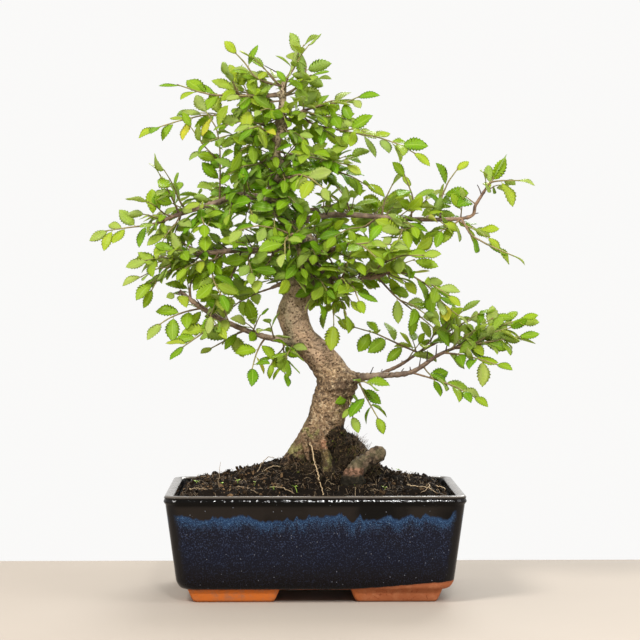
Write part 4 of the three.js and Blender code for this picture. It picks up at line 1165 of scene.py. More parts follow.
def raw_wood():
    """Trunk, roots, swellings and the collars of the boughs, as closed tubes and balls that overlap."""
    form = Form()
    for stations, sides in [(TRUNK, 36), *((root, 24) for root in ROOTS + RIDGES)]:
        line = curve_through(stations, 2.0)
        form.add(*tube(line[:, :3], np.maximum(line[:, 3], 0.5), sides))
    ball_points, ball_faces = ball(4)
    for x, y, z, radius in KNOBS:
        form.add(ball_points * radius + (x, y, z), [ball_faces])
    for stations in BOUGHS.values():
        line = curve_through(stations, 1.0)
        away = off_wood(line[:, :3], np.array(TRUNK, float))
        collar = line[: max(6, int(np.argmax(away > 5.0)) or 6)]
        flare = 1 + 0.75 * np.exp(-np.maximum(away[: len(collar)], 0) / 2.2)
        form.add(*tube(collar[:, :3], collar[:, 3] * flare, 14))
    return form


def make_trunk(settings):
    """The wood up to the collars of the boughs, melted into one skin and given bark relief."""
    melted = in_scene("raw_wood", raw_wood().mesh("raw_wood"))
    remesh = melted.modifiers.new("melt", "REMESH")
    remesh.mode = "VOXEL"
    remesh.voxel_size = settings.voxel * MM
    soften = melted.modifiers.new("soften", "SMOOTH")
    soften.factor = 0.6
    soften.iterations = 5
    skin = applied(melted)
    bpy.data.objects.remove(melted)
    place, outward = of_vertices(skin, "co") / MM, of_vertices(skin, "normal")
    place = place + outward * bark_relief(place)[:, None]
    skin.vertices.foreach_set("co", (place * MM).astype(np.float32).ravel())
    skin.polygons.foreach_set("use_smooth", np.ones(len(skin.polygons), bool))
    skin.update()
    skin.materials.clear()
    placed(skin, "trunk_and_roots", [bark(settings)], ["trunk_and_boughs"])


def bark_relief(place):
    """How far the bark stands out at each point, in millimetres."""
    x, y, z = place.T
    squeezed = place * (1, 1, 1.9)
    lumps = 0.75 * relief(place, 13, 1) + 0.4 * relief(place, 5.5, 4)
    rough = 0.32 * relief(squeezed, 2.6, 9) + 0.2 * relief(place, 1.4, 6)
    thick = smoothstep(z, 262, 232)
    low = smoothstep(z, 168, 148)
    out = lumps * (0.25 + 0.75 * thick) + rough * (0.45 + 0.55 * low)

    scarred = 0.55 * smoothstep(z, 128, 136) * smoothstep(z, 158, 150)
    out += 0.55 * np.sin(2 * math.pi * (z + 2.4 * relief(place, 9, 2)) / 4.6) * scarred
    dents = np.minimum(0, relief(squeezed, 2.1, 15) + 0.25) * (1 + 0.9 * scarred)

    loop = smoothstep(y, -20, -26) * smoothstep(z, 62, 70)
    stub = smoothstep(y, -33, -36) * smoothstep(z, 89, 84)
    collars = np.sin(2 * math.pi * (x + 0.6 * z + 1.2 * relief(place, 6, 7)) / 4.4)
    out = out * (1 - 0.45 * loop) + stub * (0.8 * relief(place, 3.4, 21) + 0.5 * relief(place, 1.5, 22))

    angle = np.arctan2(y, x - 6)
    flutes = np.sin(7 * angle + 1.5 * relief(place, 16, 12)) + 0.6 * np.sin(13 * angle + 0.09 * z)
    footed = smoothstep(z, 128, 104)
    out += 0.75 * flutes * footed * (1 - loop) + 0.28 * collars * loop
    out += 0.9 * dents * (0.3 + 0.7 * thick)
    return np.where(z < 60, 0.3 * out, out)


def make_boughs():
    """The boughs beyond their collars, with knots and small swellings."""
    rng = np.random.default_rng(SEEDS["boughs"])
    step, knot_spacing, sides = 1.6, 8.5, 12
    form = Form()
    for name, stations in BOUGHS.items():
        line = curve_through(stations, step)
        count = len(line)
        turns = np.arange(count) * step / knot_spacing * 2 * math.pi
        knots = 1 + 0.16 * np.sin(turns + rng.uniform(0, 6)) ** 8
        radii = line[:, 3] * knots * (1 + 0.05 * rng.standard_normal(count))
        points, faces = tube(line[:, :3], radii, sides)
        skin = points[:-2]
        outward = unit(skin - np.repeat(line[:, :3], sides, 0))
        skin += 0.12 * relief(skin, 1.6, 3)[:, None] * outward
        young = np.clip((2.2 - line[:, 3]) / 1.6, 0, 1)
        # Painted shade on the lower right boughs, under the crown.
        shade = 0.28 if name.startswith("right_lower") else 0.0
        tint = np.repeat(np.column_stack([young, np.zeros(count), np.full(count, shade)]), sides, 0)
        form.add(points, faces, tint=np.vstack([tint, tint[:1], tint[-1:]]))
    form.piece("boughs", [bough_bark()], "bark")


# Leaves and shoots


def chance(shoot, leaf, attempt, use):
    """A number from 0 to 1 that is always the same for the same shoot, leaf, try and use."""
    word = 0xFFFFFFFF
    h = ((shoot + 1) * 73856093 ^ (leaf + 1) * 19349663) & word
    h ^= ((attempt + 1) * 83492791 ^ (use + 1) * 49979687) & word
    h = ((h ^ (h >> 16)) * 0x85EBCA6B) & word
    h = ((h ^ (h >> 13)) * 0xC2B2AE35) & word
    return (h ^ (h >> 16)) / 4294967296


def length_of(points):
    return sum((b - a).length for a, b in zip(points, points[1:]))


def along(points, share):
    """The point and the direction at a share of the way along a line of points."""
    left = share * length_of(points)
    last = len(points) - 2
    k = 0
    while k < last and left > (points[k + 1] - points[k]).length:
        left -= (points[k + 1] - points[k]).length
        k += 1
    direction = (points[k + 1] - points[k]).normalized()
    return points[k] + direction * left, direction


def fork_of(points):
    """The side twig of a longer shoot, as the solids have it."""
    length = length_of(points)
    if length < FORK_FROM:
        return None
    point, direction = along(points, 0.4)
    side = direction.cross(Vector((0, 0, 1))).normalized()
    wanted = math.copysign(1, point.y + 8) if abs(point.y) < 45 else -math.copysign(1, point.y)
    if side.y * wanted < 0:
        side.negate()
    turn = math.radians(FORK_ANGLE)
    heading = direction * math.cos(turn) + side * math.sin(turn)
    reach = min(0.52 * length, 30)
    bend = point + heading * (reach / 2) + Vector((0, 0, 0.08 * reach))
    end = bend + (heading + direction * 0.5).normalized() * (reach / 2)
    return [point, bend, end]


def leaf_pose(shoot, points, bare, leaf, count, attempt):
    """Where a leaf of the solids sits and how it is turned."""

    def draw(use):
        return chance(shoot, leaf + round(100 * bare), attempt, use)

    terminal = leaf == count - 1
    end = 1 - LEAF_MARGIN / length_of(points)
    share = end if terminal else bare + (end - bare) * (leaf + 0.35) / count
    point, direction = along(points, share)
    out = Vector(((point.x - CROWN_MIDDLE[0]) / 220, -0.72 if point.y < CROWN_MIDDLE[1] else 0.72, 0.6))
    face = (Vector((draw(0) - 0.5, draw(1) - 0.5, draw(2) - 0.5)) * 1.1 + out).normalized()
    spread = math.radians(24 * (draw(3) - 0.5) if terminal else 42 + 26 * draw(3))
    hand = 1 if leaf % 2 == 0 else -1
    size = (0.76 + 0.24 * math.sin(math.pi * share)) * (0.86 + 0.32 * draw(6)) * (0.8 if attempt > 3 else 1)
    droop, roll = 0.34 * draw(4), 50 * (draw(5) - 0.5)
    return posed(point, direction, face, spread * hand, droop, roll, LEAF_LENGTH * size)


def posed(point, direction, face, spread, droop, roll, length):
    """A leaf's place and axes, from its twig's direction, its face, and how it spreads and droops."""
    sideways = face.cross(direction).normalized()
    ahead = direction * math.cos(spread) + sideways * math.sin(spread) - Vector((0, 0, droop))
    ahead.normalize()
    across = Matrix.Rotation(math.radians(roll), 3, ahead) @ face.cross(ahead).normalized()
    return {"point": point, "ahead": ahead, "across": across, "up": ahead.cross(across), "length": length}


def start_in_solid(points, corners):
    """The point on its first stretch where a shoot of the solids starts, read from its first ring."""
    direction = (points[1] - points[0]).normalized()
    from_start = corners - np.array(points[0])
    run = from_start @ np.array(direction)
    off = np.linalg.norm(from_start - run[:, None] * np.array(direction), axis=1)
    near = run[(off < TWIG_RADIUS * 1.1 + 0.12) & (run > 0.2)]
    back = 0.5 + 0.25 * round((float(near.min()) - 0.5) / 0.25)
    return points[0].lerp(points[1], back / (points[1] - points[0]).length)


def solid_leaves(shoot, points, bare, finder):
    """The leaves that a twig of the solids really has, and how many were looked for.

    Each is the first of its tries whose tip and edge are corners of the solid.
    """
    count = max(3 if bare < 0.2 else 2, math.floor(length_of(points) * (1 - bare) / LEAF_SPACING + 0.5))
    found = []
    for leaf in range(count):
        for attempt in range(LEAF_TRIES):
            pose = leaf_pose(shoot, points, bare, leaf, count, attempt)
            size = pose["length"]
            tip = pose["point"] + pose["ahead"] * size - pose["up"] * 0.05 * size
            edge = pose["point"] + pose["ahead"] * 0.42 * size + pose["across"] * 0.27 * size
            edge += pose["up"] * LEAF_FOLD * 0.27 * size
            if max(finder.find(tip)[2], finder.find(edge)[2]) < 0.3:
                pose["share"] = leaf / count
                found.append(pose)
                break
    return found, count


# A leaf's saw teeth a side, and the shares of its length where its blade and its first tooth start and
# that each tooth takes
LEAF_TEETH = 7
BLADE_START = 0.1
FIRST_TOOTH = 0.16
TOOTH_LENGTH = 0.111
LEAF_COLUMNS = np.array([-1, -0.5, 0, 0.5, 1])


def leaf_rows():
    """Rows over a leaf up to its last notch: how far along, and how wide against its smooth outline."""
    rows = [(BLADE_START, 1.0), (0.125, 1.0), (FIRST_TOOTH, 1.0)]
    for tooth in range(LEAF_TEETH):
        rows.append((FIRST_TOOTH + TOOTH_LENGTH * (tooth + 0.72), 1.08))
        rows.append((FIRST_TOOTH + TOOTH_LENGTH * (tooth + 1), 0.86))
    return np.array(rows)


LEAF_ROWS = leaf_rows()


def leaf_skin():
    """Faces of a leaf blade: its upper and its lower side share their rim and their tip."""
    rows, columns = len(LEAF_ROWS), len(LEAF_COLUMNS)
    upper = np.arange(rows * columns).reshape(rows, columns)
    lower = np.column_stack([upper[:, 0], rows * columns + np.arange(rows), upper[:, -1]])
    tip = rows * columns + rows
    quads, triangles = [], []
    for sheet, turned in ((upper, False), (lower, True)):
        for j in range(sheet.shape[1] - 1):
            for i in range(rows - 1):
                row = [sheet[i, j], sheet[i + 1, j], sheet[i + 1, j + 1], sheet[i, j + 1]]
                quads.append(row if turned else row[::-1])
            row = [sheet[-1, j], tip, sheet[-1, j + 1]]
            triangles.append(row if turned else row[::-1])
    for j in range(columns - 1):
        triangles.append([upper[0, j], lower[0, 1], upper[0, j + 1]])
    return [np.array(quads), np.array(triangles)]


LEAF_FACES = leaf_skin()


def add_leaf(form, pose, rng, youth, dark):
    """A saw-edged leaf with a folded, gently curling blade and a short stalk."""
    length = pose["length"]
    point, ahead, across, up = (np.array(pose[key]) for key in ("point", "ahead", "across", "up"))
    u, notch = LEAF_ROWS.T
    t = (u - BLADE_START) / (1 - BLADE_START)
    width = rng.uniform(0.21, 0.285)
    blunt = 0.6 + 0.16 * smoothstep(t, 0.5, 1)
    shape = np.sin(math.pi * np.maximum(t, 0.004) ** rng.uniform(0.92, 1.3)) ** blunt
    half = width * length * shape * (1 - 0.3 * np.maximum(t, 0) ** 4)
    fold = LEAF_FOLD * rng.uniform(0.6, 1.3)
    curl = rng.uniform(-0.05, 0.09)
    wave = rng.uniform(0.0, 0.02) * np.sin(2 * math.pi * (1.5 * t + rng.uniform(0, 1)))
    bend = -0.05 * length * u ** 2 + curl * length * np.sin(math.pi * t)
    sway = rng.uniform(-0.03, 0.03) * length * np.sin(math.pi * t)
    points = []
    values = []
    for sign, columns in ((1, LEAF_COLUMNS), (-1, LEAF_COLUMNS[2:3])):
        beside = np.abs(columns)
        rim = beside == 1
        out = np.outer(half, columns) * np.where(rim, notch[:, None], 1.0)
        out += sway[:, None] * (1 - 0.3 * beside)
        lift = fold * np.abs(np.outer(half, columns)) + bend[:, None]
        lift += wave[:, None] * length * beside
        quilt = 0.012 * length * np.sin(2 * math.pi * LEAF_TEETH * 1.02 * (t[:, None] - 0.16 * beside))
        lift += quilt * (beside == 0.5)
        thick = np.where(columns == 0, 0.17 if sign > 0 else 0.30, 0.11)
        thick = np.where(rim, 0.0, thick) * np.minimum(1, 0.35 + 3 * np.minimum(t, 1 - t))[:, None]
        lift += sign * thick
        place = point + (u * length)[:, None, None] * ahead
        place = place + out[:, :, None] * across + lift[:, :, None] * up
        points.append(place.reshape(-1, 3))
        carried = np.broadcast_arrays(u[:, None], columns, np.where(rim, 0.0, float(sign)))
        values.append(np.stack(carried, -1).reshape(-1, 3))
    tip = point + length * ahead - 0.05 * length * up
    points.append(tip[None])
    values.append(np.array([[1.0, 0.0, 0.0]]))
    # The third part paints leaves deep in the crown darker, as painted shade.
    tint = (youth, rng.random(), dark)
    form.add(np.vstack(points), LEAF_FACES, finish=1, blade=np.vstack(values), tint=tint)
    base = point + 0.105 * length * ahead + up * (0.02 - 0.0005 * length)
    stalk = np.array([point, lerp(point, base, 0.5) - 0.12 * up, base, base + 0.05 * length * ahead])
    form.add(*tube(stalk, [0.34, 0.27, 0.25, 0.14], 4), blade=(0, 0, 0), tint=(0.2, 0.9, 0.0))


def leaf_finish(settings):
    """Leaf green from fresh yellow-green to mature, with paler veins and a duller, paler underside, painted
    shade deep in the crown and a painted sheen on some paler leaves.
    """
    r = Recipe("leaf_green")
    blade = r.value("blade")
    tint = r.value("tint")
    off = r.math("ABSOLUTE", blade[1])
    fresh = r.mix(tint[1], tuple(settings.young), (0.29, 0.40, 0.018))
    grown = r.mix(tint[1], tuple(settings.mature), (0.145, 0.35, 0.003))
    colour = r.mix(tint[0], grown, fresh)
    kind = r.math("FRACT", r.times(tint[1], 7.3))
    # Painted sheen: some leaves are painted paler and greyer in place of the bright surroundings'
    # reflection.
    colour = r.mix(r.rise(kind, 0.5, 1.0, 0.0, 0.6), colour, (0.44, 0.475, 0.20))
    colour = r.mix(r.rise(kind, 0.42, 0.0, 0.0, 0.8), colour, (0.09, 0.27, 0.008))
    colour = r.mix(r.rise(tint[1], 0.99, 0.995), colour, (0.60, 0.54, 0.05))
    colour = r.mix(r.times(r.rise(r.noise(170, 3, 0.6), 0.35, 0.75), 0.4), colour, (0.24, 0.38, 0.02))
    # Painted shade: leaves deep in the crown are darkened by the third part of the tint.
    colour = r.mix(tint[2], colour, (0.085, 0.26, 0.004))
    run = r.minus(r.times(blade[0], 8.2), r.times(off, 1.35))
    comb = r.math("ABSOLUTE", r.minus(r.math("FRACT", run), 0.5))
    side_veins = r.times(r.rise(comb, 0.10, 0.0), r.rise(off, 0.97, 0.7))
    midrib = r.rise(off, 0.10, 0.03)
    veins = r.math("MAXIMUM", r.times(side_veins, 0.45), midrib)
    colour = r.mix(r.times(veins, 0.55), colour, (0.42, 0.56, 0.10))
    colour = r.mix(r.times(r.rise(off, 0.93, 1.0), 0.35), colour, (0.38, 0.46, 0.05))
    under = r.rise(blade[2], 0.0, -0.25)
    below = r.mix(0.55, colour, (0.36, 0.43, 0.17))
    colour = r.mix(under, colour, below)
    colour = r.mix(r.times(r.spots(700, 0.12, 0.6), 0.3), colour, (0.10, 0.12, 0.02))
    r.set(Base_Color=colour, Roughness=r.level(under, 0.36, 0.65), Specular_IOR_Level=0.14)
    height = r.plus(r.times(veins, -0.6), r.times(r.noise(1500, 2), 0.5))
    normal = r.bump(height, 0.14, 0.5)
    shining = r.mix(0.55, colour, (0.66, 0.74, 0.05))
    glow = r.node("ShaderNodeBsdfTranslucent", {"Color": shining, "Normal": normal})
    both = r.node("ShaderNodeMixShader", {0: settings.glow, 1: r.surface.outputs[0], 2: glow.outputs[0]})
    r.feed(r.tree.nodes["Material Output"].inputs["Surface"], both.outputs[0])
    return r.material


def add_twig(form, points, start, end, tint_start, tint_end, sides=6, bud=True):
    """A twig that follows its points with rounded bends, a little zigzag and a bud at its end."""
    rows = np.array([tuple(p) for p in points], float)
    line = [rows[0]]
    for a, b in zip(rows, rows[1:]):
        pieces = max(1, int(round(np.linalg.norm(b - a) / 2.2)))
        line += [lerp(a, b, (k + 1) / pieces) for k in range(pieces)]
    line = np.array(line)
    for _ in range(2):
        line[1:-1] = 0.5 * line[1:-1] + 0.25 * (line[:-2] + line[2:])
    joints = 1 + 0.13 * (np.arange(len(line)) % 3 == 1)
    radii = lerp(start, end, np.linspace(0, 1, len(line))) * joints
    run = run_of(line)
    way = np.concatenate([np.repeat(run / run[-1], sides), [0, 1]])
    tint = np.outer(1 - way, tint_start) + np.outer(way, tint_end)
    form.add(*tube(line, radii, sides), blade=(0, 0, 0), tint=tint)
    if bud:
        axis = unit(line[-1] - line[-2])
        core = [line[-1] + out * axis for out in (-0.3, 0.5, 1.2, 1.7)]
        made = tube(core, [end * 0.8, 0.48, 0.38, 0.08], 5)
        form.add(*made, blade=(0, 0, 0), tint=(1.0, 0.25, 0.1))


def darkness(point):
    """How deep in the crown a point lies: 1 in its dense middle, 0 at its outside; leaves there are painted
    darker by it, as painted shade.
    """
    deep = 1 - math.sqrt(sum(((p - middle) / radius) ** 2 for p, middle, radius in zip(point, *CROWN_CORE)))
    return min(1.0, max(0.0, 1.5 * deep))


def add_more_leaves(form, points, bare, count, rng, shown):
    """Leaves in between those of the solids, on the same twig, for a fuller shoot."""
    made = 0
    end = 1 - LEAF_MARGIN / length_of(points)
    for leaf in range(count):
        share = bare * 0.6 + (end - bare * 0.6) * (leaf + 0.85) / (count + 0.2)
        point, direction = along(points, min(share, end))
        if rng.random() > shown * min(1.0, 0.35 + 2.2 * darkness(point)):
            continue
        hand = -1 if leaf % 2 == 0 else 1
        pose = free_pose(point, direction, hand, rng, rng.uniform(0.62, 1.05))
        add_leaf(form, pose, rng, fresh_share(point, share, rng), darkness(point) * rng.uniform(0.2, 0.8))
        made += 1
    return made


def free_pose(point, direction, hand, rng, size):
    """A leaf's place and axes where the solids have none."""
    y_out = -0.5 if point.y < CROWN_MIDDLE[1] + rng.normal(0, 9) else 0.5
    out = Vector(((point.x - CROWN_MIDDLE[0]) / 220, y_out, 0.85))
    face = (Vector(rng.uniform(-0.75, 0.75, 3).tolist()) + out).normalized()
    spread = hand * math.radians(rng.uniform(38, 74))
    droop, roll = rng.uniform(0, 0.4), rng.uniform(-30, 30)
    return posed(point, direction, face, spread, droop, roll, LEAF_LENGTH * size)


def fresh_share(point, share, rng):
    """How young a leaf looks: more so towards its twig's tip and the crown's outside."""
    outside = 1 - darkness(point)
    return float(np.clip(0.1 + 0.4 * outside + 0.25 * share + rng.normal(0, 0.25), 0, 1))


def make_shoots(settings):
    """Each leafy shoot of the solids, with finer leaves in the same places and more between them."""
    wood, green = bough_bark(), leaf_finish(settings)
    solid = 0
    extra = 0
    for shoot, (name, stations) in enumerate(SHOOTS.items()):
        rng = np.random.default_rng(SEEDS["shoots"] + shoot)
        node = "shoot_" + name
        corners = of_vertices(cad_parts[node].data, "co") / MM
        finder = kdtree.KDTree(len(corners))
        for k, corner in enumerate(corners):
            finder.insert(corner, k)
        finder.balance()
        raw = [Vector(p) for p in stations]
        points = [start_in_solid(raw, corners), *raw[1:]]
        form = Form()
        add_twig(form, [raw[0], *points[1:]], TWIG_RADIUS * 1.05, 0.42, (0.7, 0, 0.15), (0.9, 0.55, 0))
        twigs = [(points, 0.16)]
        fork = fork_of(points)
        if fork:
            add_twig(form, fork, 0.55, 0.36, (0.9, 0.1, 0), (0.9, 0.65, 0))
            twigs.append((fork, 0.3))
        for line, bare in twigs:
            leaves, count = solid_leaves(shoot, line, bare, finder)
            solid += len(leaves)
            for pose in leaves:
                young = fresh_share(pose["point"], pose["share"], rng)
                add_leaf(form, pose, rng, young, darkness(pose["point"]) * rng.uniform(0.1, 0.6))
            extra += add_more_leaves(form, line, bare, count, rng, settings.between)
        form.piece("leafy_" + name, [wood, green], "leaf", [node])
    print("leaves of the solids found:", solid, "more between them:", extra)


def make_spurs(settings):
    """Short leafy spurs all along the boughs and the upper trunk, bare dead twiglets, and the sprays."""
    wood, green = bough_bark(), leaf_finish(settings)
    total = 0
    limbs = {**BOUGHS, "upper_trunk": [row for row in TRUNK if row[2] > CROWN_FOOT]}
    for index, (name, stations) in enumerate(limbs.items()):
        rng = np.random.default_rng(SEEDS["spurs"] + index)
        form = Form()
        line = curve_through(stations, 1.5)
        lengths = run_of(line[:, :3])
        total += add_spurs(form, name, line, lengths, rng, settings)
        total += add_sprays(form, name, line, lengths, rng)
        form.piece("spurs_" + name, [wood, green], "leaf")
    print("leaves on spurs and sprays:", total)


def add_spurs(form, name, line, lengths, rng, settings):
    """The spurs of one limb, to its left and right in turn, and few or none where it stays bare."""
    made = 0
    tangents = unit(np.gradient(line[:, :3], axis=0))
    clear = off_wood(line[:, :3], curve_through(TRUNK, 2.0))
    bald_points = BARE_SHARE.get(name, 0) * len(line)
    at = rng.uniform(2, 6)
    hand = 1
    while at < lengths[-1]:
        k = int(np.searchsorted(lengths, at))
        at += rng.uniform(0.75, 1.35) * settings.spur_spacing
        hand = -hand
        if name != "upper_trunk" and clear[k] < 3:
            continue
        start, radius = Vector(line[k, :3]), line[k, 3]
        aim = spur_aim(Vector(tangents[k]), hand, k, rng)
        bald = k < bald_points
        bare = rng.random() < settings.dead or bald
        if bald and rng.random() < 0.5:
            continue
        if bare:
            reach = rng.uniform(2, 7) if bald else rng.uniform(7, 15)
        else:
            reach = rng.uniform(10, 25) * (0.6 + 0.7 * (1 - at / lengths[-1]))
        bend = aim.lerp(Vector((aim.x, aim.y, rng.uniform(-0.2, 0.6))), 0.4).normalized()
        knee = start + aim * (radius + reach * 0.45)
        points = [start, knee, knee + bend * reach * 0.55]
        if bare:
            add_twig(form, points, 0.5, 0.28, (0.6, 0, 0.7), (0.8, 0, 0.9), 5, False)
            continue
        add_twig(form, points, 0.5, 0.32, (0.8, 0.1, 0.1), (0.9, 0.6, 0), 5)
        made += spur_leaves(form, points, radius, reach, rng)
    return made


def spur_aim(heading, hand, k, rng):
    """The way in which a spur leaves its limb: to one side, mostly upwards and a little ahead."""
    side = heading.cross(Vector((0, 0, 1)))
    if side.length < 0.3:
        side = Vector((math.cos(3 * k), math.sin(3 * k), 0))
    side.normalize()
    lift = side.cross(heading).normalized()
    turn = rng.uniform(-0.15, 1.35)
    away = side * hand * math.cos(turn) + lift * math.sin(turn)
    lean = rng.uniform(0.15, 0.75)
    return (away + heading * lean + Vector((0, 0, rng.uniform(-0.25, 0.35)))).normalized()


def add_sprays(form, name, line, lengths, rng):
    """The longer leafy side twigs of one limb, most with a fellow that reaches out behind it."""
    made = 0
    for share, end in SPRAYS.get(name, []):
        k = min(int(np.searchsorted(lengths, share * lengths[-1])), len(line) - 1)
        start, radius = Vector(line[k, :3]), line[k, 3]
        alone = name in BARE_SHARE and start.z < CROWN_FOOT
        for behind in (False,) if alone else (False, True):
            goal = Vector(end)
            if behind:
                jitter = Vector(rng.normal(0, 4, 3).tolist())
                goal = Vector((end[0], 1.2 * start.y - 0.9 * end[1] + 4, end[2]))
                goal = start + (goal - start) * 0.78 + jitter
            way = goal - start
            points = [start, start + way * 0.35 + Vector((0, 0, -0.06 * way.length))]
            points += [start + way * 0.7 + Vector((0, 0, 0.03 * way.length)), goal]
            add_twig(form, points, 0.62, 0.34, (0.75, 0.05, 0.15), (0.9, 0.6, 0), 5)
            made += spur_leaves(form, points, radius, way.length, rng)
    return made


def spur_leaves(form, points, radius, reach, rng):
    """The leaves of one spur, closer towards its end."""
    count = max(2, int(round(reach / 5.7)))
    bare = min(0.6, (radius + 1.5) / length_of(points))
    for leaf in range(count):
        share = bare + (1 - bare) * ((leaf + 0.6) / count) if leaf < count - 1 else 0.99
        point, direction = along(points, share)
        hand = 1 if leaf % 2 == 0 else -1
        size = rng.uniform(0.58, 1.1)
        pose = free_pose(point, direction, hand * 0.2 if leaf == count - 1 else hand, rng, size)
        add_leaf(form, pose, rng, fresh_share(point, share, rng), darkness(point) * rng.uniform(0.2, 0.95))
    return count


def plastic():
    """Black moulded mesh with a slight grain, for the screens over the drain holes."""
    r = Recipe("black_plastic_mesh")
    grain = r.noise(900, 3, 0.6)
    r.set(Base_Color=r.mix(grain, (0.012, 0.012, 0.013), (0.03, 0.03, 0.032)), Roughness=0.55)
    r.bump(grain, 0.1, 0.5)
    return r.material


# Where seedlings stand on the soil, and the rim of one of their leaves: how far along, and how far out
SEEDLINGS = [
    (-52, -36), (-41, -34), (-27, -56), (-12, -60), (-62, -30), (46, -52), (-80, -20), (60, 30), (-30, 46),
]
SEEDLING_RIM = [(0, 0), (0.3, 0.2), (0.65, 0.27), (1, 0), (0.65, -0.27), (0.3, -0.2)]


def make_seedlings():
    """Tiny pale green weeds that sprout from the soil."""
    r = Recipe("seedling_green")
    shade = r.noise(400, 2)
    r.set(Base_Color=r.mix(shade, (0.32, 0.46, 0.04), (0.18, 0.32, 0.03)), Roughness=0.5)
    rng = np.random.default_rng(SEEDS["seedlings"])
    around = np.arange(len(SEEDLING_RIM))
    after = np.roll(around, -1)
    upper = np.column_stack([np.full(len(around), len(around)), around, after])
    lower = np.column_stack([np.full(len(around), len(around) + 1), after, around])
    form = Form()
    for x, y in SEEDLINGS:
        foot = np.array([x, y, float(soil_height(x, y, 1)) - 0.4])
        lean = unit(np.array([rng.normal(0, 0.4), rng.normal(0, 0.4), 1.0]))
        top = foot + lean * rng.uniform(2.2, 4.5)
        form.add(*tube([foot, lerp(foot, top, 0.5) + 0.1, top], [0.22, 0.18, 0.15], 4))
        turn = rng.uniform(0, math.pi)
        for k in range(rng.integers(2, 5)):
            way = turn + k * math.pi * 0.8
            ahead = unit(np.array([math.cos(way), math.sin(way), rng.uniform(0.1, 0.6)]))
            across = unit(np.cross((0, 0, 1), ahead))
            up = np.cross(ahead, across)
            size = rng.uniform(1.5, 3.0)
            points = []
            for u, v in SEEDLING_RIM:
                points.append(top + size * (u * ahead + v * across) + 0.12 * size * abs(v) * up)
            middle = top + 0.5 * size * ahead
            form.add([*points, middle + 0.12 * up, middle - 0.12 * up], [upper, lower])
    form.piece("seedlings", [r.material], "leaf")


# Stage


# The soft round lights, by the setting that holds their power: place, aim, width and colour
LIGHTS = {
    "key": ((-0.85, -1.0, 1.35), (0, 0, 0.2), 0.55, (1, 0.98, 0.95)),
    "fill": ((1.2, -0.6, 0.7), (0, 0, 0.2), 0.9, (0.97, 0.98, 1)),
    "front": ((0.3, -1.35, 0.95), (0, 0, 0.07), 0.4, (1, 1, 1)),
    "glint": ((0.107, -1.35, 0.95), (0, 0, 0.07), 0.14, (1, 1, 1)),
    "back": ((0.35, 1.3, 1.1), (0, 0, 0.25), 0.9, (1, 1, 0.97)),
}


def make_floor(settings):
    """A wide pale slab under the pot."""
    slab = Form()
    near, far, side, thick = -900, 155, 1600, 30
    corners = [(-side, near), (side, near), (side, far), (-side, far)]
    slab.add(
        [(x, y, z) for z in (-thick, 0) for x, y in corners],
        [[[0, 3, 2, 1], [4, 5, 6, 7], [0, 1, 5, 4], [1, 2, 6, 5], [2, 3, 7, 6], [3, 0, 4, 7]]],
    )
    floor = in_scene("floor", slab.mesh("floor"))
    r = Recipe("pale_floor")
    base = tuple(settings.floor)
    colour = r.mix(r.noise(9, 3), base, tuple(part * 0.95 for part in base))
    r.set(Base_Color=colour, Roughness=0.75, Specular_IOR_Level=0.2)
    floor.data.materials.append(r.material)


def make_surroundings(settings):
    """Near-white surroundings, dimmer behind the camera."""
    world = bpy.data.worlds.new("surroundings")
    bpy.context.scene.world = world
    world.use_nodes = True
    tree = world.node_tree
    way = tree.nodes.new("ShaderNodeTexCoord")
    split = tree.nodes.new("ShaderNodeSeparateXYZ")
    tree.links.new(way.outputs["Generated"], split.inputs[0])
    rise = tree.nodes.new("ShaderNodeMapRange")
    rise.interpolation_type = "SMOOTHSTEP"
    levels = {"From Min": -0.55, "From Max": 0.45, "To Min": settings.dim, "To Max": 0.955}
    for name, value in levels.items():
        rise.inputs[name].default_value = value
    tree.links.new(split.outputs[1], rise.inputs["Value"])
    tint = tree.nodes.new("ShaderNodeMix")
    tint.data_type = "RGBA"
    tint.blend_type = "MULTIPLY"
    tint.inputs[0].default_value = 1
    tint.inputs[6].default_value = (1, 0.995, 0.985, 1)
    tree.links.new(rise.outputs[0], tint.inputs[7])
    tree.links.new(tint.outputs[2], tree.nodes["Background"].inputs["Color"])


def make_lights(settings):
    """The soft lights, each as strong as its setting says."""
    for name, (place, aim, size, colour) in LIGHTS.items():
        light = bpy.data.lights.new(name, "AREA")
        light.shape = "DISK"
        light.size = size
        light.energy = getattr(settings, name)
        light.color = colour
        lamp = in_scene(name, light)
        lamp.location = place
        lamp.rotation_euler = (Vector(aim) - Vector(place)).to_track_quat("-Z", "Y").to_euler()


def make_camera():
    """The photograph's camera: a long lens in front of the pot, a little above its rim."""
    lens = bpy.data.cameras.new("camera")
    lens.lens = 122.9
    lens.sensor_width = 36
    lens.clip_end = 50
    camera = in_scene("camera", lens)
    camera.location = (-0.021, -1.5, 0.219)
    camera.rotation_euler = (math.radians(90 - 1.26), 0, math.radians(-0.96))
    bpy.context.scene.camera = camera


def make_stage(settings):
    """Pale floor, near-white surroundings, soft lights and the photograph's camera."""
    bpy.context.scene.view_settings.view_transform = "Standard"
    make_floor(settings)
    make_surroundings(settings)
    make_lights(settings)
    make_camera()


# Settings, operators and panel


def colour_setting(name, description, default):
    return FloatVectorProperty(
        name=name, description=description, default=default, subtype="COLOR", min=0, max=1
    )


def share_setting(name, description, default):
    return FloatProperty(
        name=name, description=description, default=default, subtype="FACTOR", min=0, max=1
    )


def number_setting(name, description, default, least=0):
    return FloatProperty(name=name, description=description, default=default, min=least)


def power_setting(name, description, default):
    return FloatProperty(name=name, description=description, default=default, unit="POWER")


